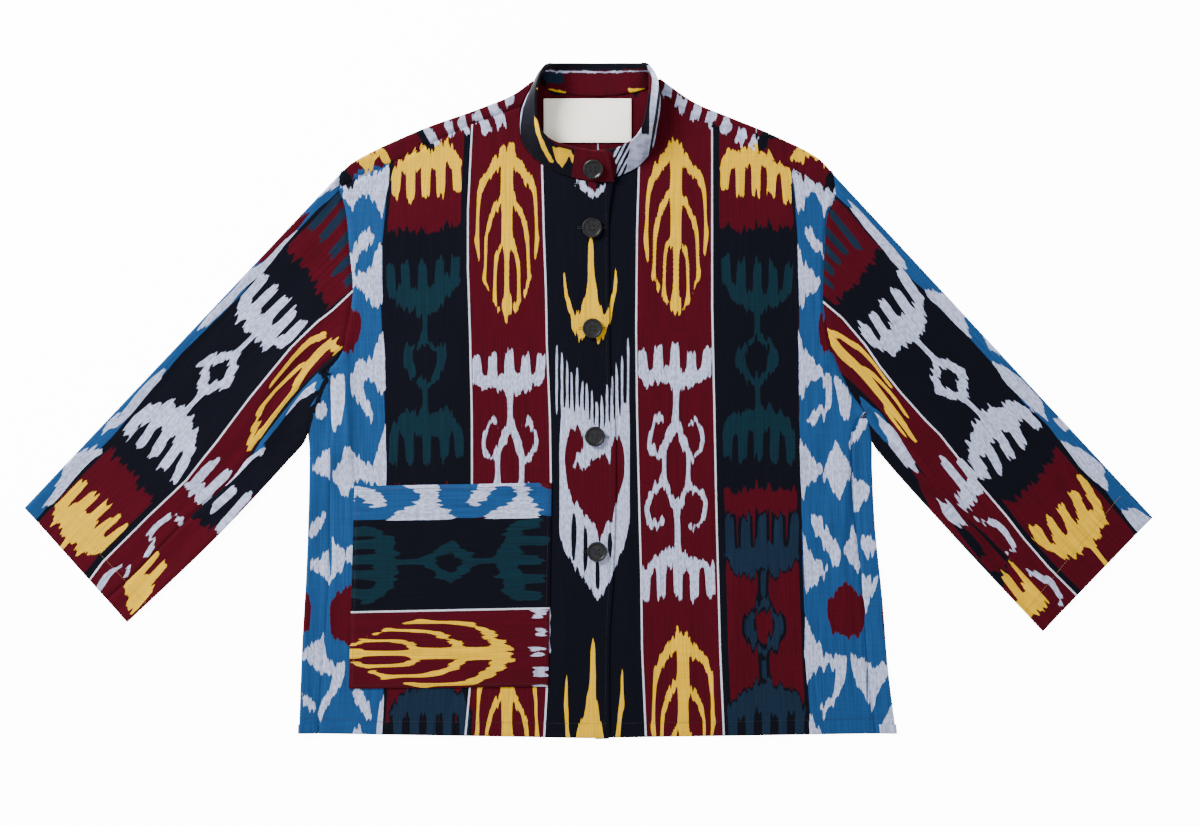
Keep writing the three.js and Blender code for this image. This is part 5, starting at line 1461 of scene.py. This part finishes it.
def grid_piece(name, points, flat, looks, zone=None, ring=False):
    """A piece from a grid. looks gives for each zone the dyes and the cloth map of every place."""
    nj, ni = points.shape[:2]
    faces = grid_faces(nj, ni, ring)
    zone = np.zeros(faces.shape[:2], int) if zone is None else zone
    flat_faces, flat_zone = faces.reshape(-1, 4), zone.ravel()
    whole = ~np.isnan(points[..., 0].ravel())[flat_faces].any(axis=1)
    flat_faces, flat_zone = flat_faces[whole], flat_zone[whole]
    where = chart_points(np.nan_to_num(flat))
    reach = np.zeros(flat_faces.shape + (6,), np.float32)
    cloth = np.zeros(flat_faces.shape + (2,), np.float32)
    for number, look in enumerate(looks):
        chosen = flat_zone == number
        if chosen.any():
            dyes, place = look(where)
            reach[chosen] = dyes.reshape(-1, 6)[flat_faces[chosen]]
            cloth[chosen] = place.reshape(-1, 2)[flat_faces[chosen]]
    places = np.nan_to_num(points).reshape(-1, 3)
    a, b, c, d = (places[flat_faces[:, k]] for k in range(4))
    tops = a[:, 2] > LAYERS_PART
    if np.sum(np.cross(c - a, d - b)[tops, 2]) < 0:
        flat_faces, reach, cloth = flat_faces[:, ::-1], reach[:, ::-1], cloth[:, ::-1]
    return make_piece(name, places, flat_faces, IKAT, reach, cloth)


def wall_piece(name, points, thick, look, material):
    """A closed sheet with a rounded rim over a grid of its middle points."""
    nj, ni = points.shape[:2]
    run, rise = np.gradient(points, axis=1), np.gradient(points, axis=0)
    normal = unit(np.cross(run, rise))
    top, low = points + normal * thick / 2, points - normal * thick / 2
    loop = np.concatenate([np.arange(ni), ni - 1 + ni * np.arange(1, nj), ni * nj - 2 - np.arange(ni - 1),
                           ni * (nj - 2) - ni * np.arange(nj - 2)])
    edge, face = points.reshape(-1, 3)[loop], normal.reshape(-1, 3)[loop]
    way = unit(np.roll(edge, -1, axis=0) - np.roll(edge, 1, axis=0))
    out = unit(np.cross(way, face))
    rims = [edge + (out * math.cos(a) + face * math.sin(a)) * thick / 2 for a in (0.8, 0.0, -0.8)]
    places = np.vstack([top.reshape(-1, 3), low.reshape(-1, 3)] + rims)
    faces = grid_faces(nj, ni).reshape(-1, 4)
    count, width = nj * ni, len(loop)
    chains = [loop, *[2 * count + k * width + np.arange(width) for k in range(3)], loop + count]
    parts = [faces, (faces + count)[:, ::-1]]
    for upper, lower in zip(chains[:-1], chains[1:]):
        parts.append(np.stack([np.roll(upper, -1), upper, lower, np.roll(lower, -1)], axis=1))
    faces = np.vstack(parts)
    dyes, cloth = look(chart_points(places))
    reach = None if dyes is None else dyes[faces]
    return make_piece(name, places, faces, material, reach, cloth[faces])


def dress(piece, stands_for):
    """Attaches the piece to the root and hides the solid that it stands for."""
    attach(piece, "root")
    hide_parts(stands_for)


# ---------------------------------------------------------------- the jacket's pieces

body = body_chart()


def body_look(where):
    """Dyes and cloth map of the body's own cloth."""
    return body.read(where), np.stack([cloth_u(where), where[..., 1]], axis=-1)


def lineless_look(where):
    """The same dyes where no plain warp line runs: in the shoulder strips and inside the neck."""
    across = NO_LINES + (where[..., 0] - CHART_CORNER[0]) * NO_LINES_SHARE
    return body.read(where), np.stack([across, where[..., 1]], axis=-1)


points, layer_rows = back_grid()
flat = points[..., :2].copy()
points, flat = turned_edge(points, flat, facing_up=False)
zone = np.zeros((points.shape[0] - 1, points.shape[1] - 1), int)
zone[layer_rows + len(TURNED_ROWS):] = 1
zone[chart_points(np.nan_to_num(flat))[:-1, :-1, 1] < NECK_TOP] = 1
piece = grid_piece("back_cloth", points, flat, [body_look, lineless_look], zone)
dress(piece, "back")

for half, height, rests_on in (("over", over_front_height, ["back_cloth", "front_under_cloth"]),
                               ("under", upper_height, ["back_cloth"])):
    points = front_grid(half, height)
    points, flat = turned_edge(points, points[..., :2].copy())
    if half == "over":
        points, flat = (np.swapaxes(part, 0, 1)[::-1] for part in (points, flat))
        points, flat = turned_edge(points, flat, depth=PLACKET_DEPTH)
        points, flat = (np.swapaxes(part, 0, 1)[:, ::-1] for part in (points, flat))
    piece = grid_piece(f"front_{half}_cloth", points, flat, [body_look])
    dress(piece, f"front_{half}")


def sleeve_look(chart, band_line=None, line_place=None):
    """Dyes and cloth map of a sleeve, with a plain warp line along its band's line if it has one."""
    def look(where):
        place = chart.place(where)
        if band_line is None:
            across = NO_LINES + place[..., 0] * NO_LINES_SHARE
        else:
            line = chart.place(band_line)
            line = line[np.argsort(line[:, 1])]
            across = place[..., 0] - np.interp(place[..., 1], line[:, 1], line[:, 0]) + line_place
        return chart.read(where), np.stack([across, place[..., 1]], axis=-1)
    return look


for half, (chart, band_line, line_place), wrap in (
        ("over", over_sleeve_chart(), over_sleeve_wrap_chart()),
        ("under", under_sleeve_chart(), under_sleeve_wrap_chart())):
    points, seam_at, top_count = sleeve_grid(half)
    flat = points[..., :2].copy()
    end = points[-1]
    along = unit(points[-1] - points[-2])
    along[:, 2] = 0
    middle = end.mean(axis=0)
    inner = [middle + (end + along * out - middle) * [width, width, height]
             for out, height, width in CUFF_ROWS]
    sunk = points[:1] - unit(points[1:2] - points[:1]) * [ARMHOLE_SUNK, ARMHOLE_SUNK, 0.0]
    level = points[..., 2].mean()
    sunk[..., 2] = level + (sunk[..., 2] - level) * ARMHOLE_FLATTENED
    points = np.concatenate([sunk, points, np.array(inner)])
    flat = np.concatenate([flat[:1], flat, np.repeat(flat[-1:], len(CUFF_ROWS), axis=0)])
    zone = np.zeros((points.shape[0] - 1, points.shape[1]), int)
    zone[:, seam_at:top_count] = 1
    looks = [sleeve_look(chart, band_line, line_place), sleeve_look(wrap)]
    piece = grid_piece(f"sleeve_{half}_cloth", points, flat, looks, zone, ring=True)
    dress(piece, f"sleeve_{half}")

# pocket, on the over front, with its warp running across the jacket
pocket = pocket_chart()
top_outer, top_inner, low_inner, low_outer = (np.array(corner, float) for corner in POCKET)
s, t = np.linspace(0, 1, 61)[None, :, None], np.linspace(0, 1, 161)[:, None, None]
spread = (low_outer * (1 - s) + low_inner * s) * (1 - t) + (top_outer * (1 - s) + top_inner * s) * t


def on_front(places, lift):
    """Places on the over front, moved out along its slope."""
    x, y, step = places[..., 0], places[..., 1], 2.0
    slope_x = over_front_height(x + step, y) - over_front_height(x - step, y)
    slope_y = over_front_height(x, y + step) - over_front_height(x, y - step)
    normal = unit(np.stack([-slope_x, -slope_y, np.full(x.shape, 2 * step)], axis=-1))
    return raised(places, over_front_height) + normal * lift


def pocket_look(where):
    """Dyes and cloth map of the pocket, whose plain warp line runs across, a little aslant."""
    line = POCKET_LINE[1] - (where[..., 0] - POCKET_LINE[0]) * POCKET_LINE_SLOPE
    across = LINE_PLACES[-1] + np.maximum(line - where[..., 1], -POCKET_LINE_REACH)
    return pocket.read(where), np.stack([across, where[..., 0]], axis=-1)


points = on_front(spread, POCKET_LIFT)
edge = np.minimum(np.minimum(s, 1 - s) * POCKET_WIDTH, np.minimum(t, 1 - t) * POCKET_HEIGHT)[..., 0]
ridge, ridge_place, ridge_width = POCKET_RIDGE
dip, dip_width = POCKET_EDGE_DIP
points[..., 2] += ridge * np.exp(-((edge - ridge_place) / ridge_width) ** 2)
points[..., 2] -= dip * np.exp(-(edge / dip_width) ** 2)
piece = wall_piece("pocket_cloth", points, POCKET_THICK, pocket_look, IKAT)
dress(piece, "pocket")

# collar band
collar = collar_chart()
seam_line, top_line = smooth_line(COLLAR_SEAM), smooth_line(COLLAR_TOP)


def collar_point(u, v):
    """Places on the collar's middle layer, by the share of its length and of its height."""
    u, v = np.broadcast_arrays(u, v)
    shape = u.shape
    u, v = u.ravel(), v.ravel()
    low, high = seam_line.at(u), top_line.at(u)
    rise = (high[:, 2] - low[:, 2]) / COLLAR_HEIGHT
    run = seam_line.at(np.minimum(1, u + 0.01)) - seam_line.at(np.maximum(0, u - 0.01))
    out = unit(np.cross(high - low, run))
    place = low + (high - low) * v[:, None]
    return (place + out * (COLLAR_BULGE * rise * np.sin(np.pi * v))[:, None]).reshape(shape + (3,))


u = np.linspace(0, 1, 331)
from_end = np.minimum(u, 1 - u) * seam_line.length
short_by = np.maximum(0, 1 - from_end / COLLAR_END)
tallest = 1 - COLLAR_END * (1 - np.sqrt(1 - short_by ** 2)) / COLLAR_HEIGHT
points = collar_point(u[None], np.linspace(0, 1, 25)[:, None] * tallest[None])


def collar_look(where):
    """Dyes and cloth map of the collar, which has no plain warp line."""
    across = NO_LINES + where[..., 0] * NO_LINES_SHARE
    return collar.read(where), np.stack([across, where[..., 1]], axis=-1)


piece = wall_piece("collar_band", points, COLLAR_THICK, collar_look, COLLAR_CLOTH)
dress(piece, "collar")

# label, bare
left, right, low, high = LABEL
s, t = np.linspace(0, 1, 45)[None, :], np.linspace(0, 1, 25)[:, None]
x, y = left + (right - left) * s + 0 * t, low + (high - low) * t + 0 * s


def label_height(x, y):
    """Height of the tape's middle, with its slight waves."""
    wave, across, up = LABEL_WAVE
    return LABEL_HEIGHT + wave * np.sin(x / across) * np.sin(y / up)


def label_look(where):
    """A cloth map alone: the tape is plain."""
    return None, where[..., :2]


points = np.stack([x, y, label_height(x, y)], axis=-1)
piece = wall_piece("label_tape", points, LABEL_THICK, label_look, label_material())
dress(piece, "label")

# ---------------------------------------------------------------- buttons

BUTTON_FINISH = button_material()
buttons = [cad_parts[f"button_{number}"] for number in range(1, 6)]
for button in buttons:
    for place in button.material_slots:
        place.material = BUTTON_FINISH

# ---------------------------------------------------------------- stitches


def stitch_tree():
    """Lays a short round stitch at even steps along each line of the mesh."""
    tree = bpy.data.node_groups.new("stitches", "GeometryNodeTree")
    for title, kind, way in (("Geometry", "NodeSocketGeometry", "INPUT"), ("Step", FLOAT, "INPUT"),
                             ("Half length", FLOAT, "INPUT"), ("Half thickness", FLOAT, "INPUT"),
                             ("Thread", "NodeSocketMaterial", "INPUT"),
                             ("Geometry", "NodeSocketGeometry", "OUTPUT")):
        tree.interface.new_socket(title, in_out=way, socket_type=kind)
    given, result = tree.nodes.new("NodeGroupInput"), tree.nodes.new("NodeGroupOutput")
    line = node(tree, "GeometryNodeMeshToCurve", {0: given.outputs["Geometry"]})
    spaced = node(tree, "GeometryNodeResampleCurve",
                  {"Curve": line.outputs[0], "Length": given.outputs["Step"]}, mode="LENGTH")
    ball = node(tree, "GeometryNodeMeshUVSphere", {"Segments": 6, "Rings": 5, "Radius": 1.0})
    size = node(tree, "ShaderNodeCombineXYZ",
                {0: given.outputs["Half length"], 1: given.outputs["Half thickness"],
                 2: given.outputs["Half thickness"]})
    stitch = node(tree, "GeometryNodeTransform", {"Geometry": ball.outputs[0], "Scale": size.outputs[0]})
    tangent = node(tree, "GeometryNodeInputTangent")
    turned = node(tree, "FunctionNodeAlignRotationToVector", {"Vector": tangent.outputs[0]}, axis="X")
    uneven = node(tree, "FunctionNodeRandomValue", {2: 0.85, 3: 1.1, "Seed": 5}, data_type="FLOAT")
    laid = node(tree, "GeometryNodeInstanceOnPoints",
                {"Points": spaced.outputs[0], "Instance": stitch.outputs[0], "Rotation": turned.outputs[0],
                 "Scale": uneven.outputs[1]})
    real = node(tree, "GeometryNodeRealizeInstances", {0: laid.outputs[0]})
    coloured = node(tree, "GeometryNodeSetMaterial", {"Geometry": real.outputs[0],
                                                      "Material": given.outputs["Thread"]})
    tree.links.new(coloured.outputs[0], result.inputs[0])
    return tree


STITCH_TREE = stitch_tree()

# Stitches, in millimetres: step, half length and half thickness
SEAM_STITCH, POCKET_STITCH, LABEL_STITCH = (2.6, 1.0, 0.22), (2.4, 0.9, 0.2), (1.9, 0.7, 0.14)
HOLE_STITCH, BUTTON_STITCH = (0.8, 0.5, 0.28), (0.5, 0.5, 0.32)
RUN_STEP = 2.0                    # how finely a seam follows the cloth
SEAM_LIFT, HOLE_LIFT = 0.15, 0.2  # above the cloth's height
POCKET_STITCH_LIFT, LABEL_STITCH_LIFT, LABEL_SEAM_INSET = 0.3, 0.4, 1.6
HOLE_HALF_LENGTH, HOLE_HALF_WIDTH = 14.0, 0.8
BUTTON_HOLE_OUT = 2.0             # the holes' distance from the button's middle, up and down
BUTTON_THREAD_TOP, BUTTON_THREAD_HALF, BUTTON_THREAD_DROP = 0.95, 2.1, 0.9


def sew(name, runs, material, step, half_length, half_thickness, slot):
    """One piece with the stitches of several lines of places in millimetres."""
    places, edges = [], []
    for run in runs:
        edges += [(len(places) + k, len(places) + k + 1) for k in range(len(run) - 1)]
        places += (np.asarray(run) * MM).tolist()
    mesh = bpy.data.meshes.new(name + "_lines")
    mesh.from_pydata(places, edges, [])
    seams = new_object(name + "_lines", mesh)
    modifier = seams.modifiers.new("stitches", "NODES")
    modifier.node_group = STITCH_TREE
    sockets = STITCH_TREE.interface.items_tree
    given = {item.name: item.identifier for item in sockets if item.in_out == "INPUT"}
    for title, value in (("Step", step * MM), ("Half length", half_length * MM),
                         ("Half thickness", half_thickness * MM), ("Thread", material)):
        modifier[given[title]] = value
    made = bpy.data.meshes.new_from_object(seams.evaluated_get(bpy.context.evaluated_depsgraph_get()))
    made.name = name
    bpy.data.objects.remove(seams)
    made.polygons.foreach_set("use_smooth", np.ones(len(made.polygons), bool))
    piece = new_object(name, made)
    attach(piece, "root")


def chart_run(height, *places):
    """A line given on the chart, laid on the cloth."""
    corners = (np.array(places, float) - CHART_CORNER) * [1, -1]
    gone = np.concatenate([[0], np.cumsum(np.linalg.norm(np.diff(corners, axis=0), axis=1))])
    at = np.linspace(0, gone[-1], max(2, int(gone[-1] / RUN_STEP)))
    line = np.stack([np.interp(at, gone, corners[:, k]) for k in range(2)], axis=-1)
    return raised(line, height) + [0, 0, SEAM_LIFT]


DARK_THREAD = plain_thread_material("dark_thread", (0.006, 0.006, 0.010, 1))
CREAM_THREAD = plain_thread_material("cream_thread", (0.46, 0.43, 0.36, 1))
RED_THREAD = plain_thread_material("burgundy_thread", (0.040, 0.0035, 0.008, 1))
YELLOW_THREAD = plain_thread_material("straw_thread", (0.22, 0.15, 0.035, 1))

cuff_runs = [chart_run(upper_height, (58, 509), (146, 602)),
             chart_run(upper_height, (1119, 497), (1025, 611))]
sew("cuff_stitching", cuff_runs, YELLOW_THREAD, *SEAM_STITCH, "ikat")
hem_and_placket_runs = [
    chart_run(over_front_height, (303, 718), (380, 721), (470, 722), (560, 723), (606, 723)),
    chart_run(upper_height, (620, 723), (700, 722), (800, 720), (893, 717)),
    chart_run(over_front_height, (606, 190), (606, 294), (607, 373), (611, 432), (609.5, 574), (606, 639),
              (605, 726))]
sew("front_stitching", hem_and_placket_runs, DARK_THREAD, *SEAM_STITCH, "ikat")


def pocket_place(across, up):
    """Places on the pocket by the share of its width and height, just above its cloth."""
    low = low_outer + (low_inner - low_outer) * across
    high = top_outer + (top_inner - top_outer) * across
    return on_front(low + (high - low) * up, POCKET_LIFT + POCKET_THICK / 2 + POCKET_STITCH_LIFT)


# The pocket's seams lie at these shares of its width and height.
SEAM_NEAR, SEAM_FAR, SEAM_HIGH = 0.014, 0.986, 0.985
steps = np.linspace(0.016, 0.984, 90)[:, None]
here = np.ones(steps.shape)
pocket_runs = [pocket_place(SEAM_NEAR * here, steps), pocket_place(steps, SEAM_NEAR * here),
               pocket_place(SEAM_FAR * here, steps), pocket_place(steps, SEAM_HIGH * here)]
sew("pocket_stitching", pocket_runs, RED_THREAD, *POCKET_STITCH, "ikat")

seam_left, seam_right, seam_low, seam_high = (
    edge + way * LABEL_SEAM_INSET for edge, way in zip(LABEL, (1, -1, 1, -1)))
label_corners = [(seam_left, seam_low), (seam_right, seam_low), (seam_right, seam_high),
                 (seam_left, seam_high)]
label_runs = []
for start, stop in zip(label_corners, label_corners[1:] + label_corners[:1]):
    share = np.linspace(0, 1, 30)[:, None]
    run = np.array(start) * (1 - share) + np.array(stop) * share
    label_runs.append(raised(run, label_height) + [0, 0, LABEL_STITCH_LIFT])
sew("label_stitching", label_runs, CREAM_THREAD, *LABEL_STITCH, "label_cloth")

hole_runs = []
for x, y in BUTTONS.values():
    for side in (-HOLE_HALF_WIDTH, HOLE_HALF_WIDTH):
        at = np.linspace(x - HOLE_HALF_LENGTH, x + HOLE_HALF_LENGTH, 40)
        run = np.stack([at, np.full(at.shape, y + side)], axis=-1)
        hole_runs.append(raised(run, over_front_height) + [0, 0, HOLE_LIFT])
sew("buttonhole_stitching", hole_runs, DARK_THREAD, *HOLE_STITCH, "ikat")

button_threads = []
for button in buttons:
    corners = np.array([button.matrix_world @ vertex.co for vertex in button.data.vertices]) / MM
    centre = corners.mean(axis=0)
    flat_axes = np.linalg.svd(corners - centre, full_matrices=False)[2]
    face = flat_axes[2] * np.sign(flat_axes[2][2])
    right_way = unit(np.cross([0, 1, 0], face))
    up_way = np.cross(face, right_way)
    top = centre + face * BUTTON_THREAD_TOP
    for side in (-BUTTON_HOLE_OUT, BUTTON_HOLE_OUT):
        share = np.linspace(-1, 1, 7)[:, None]
        bend = face * BUTTON_THREAD_DROP * share ** 4
        button_threads.append(top + right_way * BUTTON_THREAD_HALF * share + up_way * side - bend)
sew("button_threads", button_threads, DARK_THREAD, *BUTTON_STITCH, "button")

# ---------------------------------------------------------------- floor, light and camera

FLOOR_HALF, FLOOR_DROP, FLOOR_GLOW = 4.0, 0.0004, 12.0   # metres, and the strength of its own light
SKY_STRENGTH = 0.75
LIGHTS = (   # name, place in metres, size in metres, power in watts
    ("soft_light", (-1.7, 1.4, 1.4), 0.9, 190.0),
    ("fill_light", (1.4, -0.6, 2.4), 2.4, 34.0))
CAMERA_PLACE, CAMERA_SENSOR, CAMERA_LENS, CAMERA_REACH = (0.012, -0.0125, 3.0), 36.0, 90.0, 50.0
PLAIN_WHITE = (1.0, 1.0, 1.0, 1)

corners = [(x * FLOOR_HALF, y * FLOOR_HALF, -FLOOR_DROP) for x, y in ((-1, -1), (1, -1), (1, 1), (-1, 1))]
floor_mesh = bpy.data.meshes.new("floor")
floor_mesh.from_pydata(corners, [], [(0, 1, 2, 3)])
floor = new_object("floor", floor_mesh)
floor_finish, floor_tree, floor_shader = new_material("pale_floor")
feed(floor_tree, floor_shader, {"Base Color": (0.86, 0.86, 0.865, 1), "Roughness": 0.9,
                                "Emission Color": PLAIN_WHITE, "Emission Strength": FLOOR_GLOW})
floor_mesh.materials.append(floor_finish)

world = bpy.data.worlds.new("studio")
world.use_nodes = True
feed(world.node_tree, world.node_tree.nodes["Background"], {"Color": PLAIN_WHITE, "Strength": SKY_STRENGTH})
bpy.context.scene.world = world

for name, place, size, power in LIGHTS:
    light = bpy.data.lights.new(name, "AREA")
    light.size, light.energy = size, power
    lamp = new_object(name, light)
    lamp.location = place
    aim = -np.array(place)
    lamp.rotation_euler = (math.atan2(math.hypot(aim[0], aim[1]), -aim[2]), 0,
                           math.atan2(aim[1], aim[0]) - math.pi / 2)

camera_data = bpy.data.cameras.new("camera")
camera_data.sensor_width, camera_data.lens, camera_data.clip_end = CAMERA_SENSOR, CAMERA_LENS, CAMERA_REACH
camera = new_object("camera", camera_data)
camera.location = CAMERA_PLACE
bpy.context.scene.camera = camera
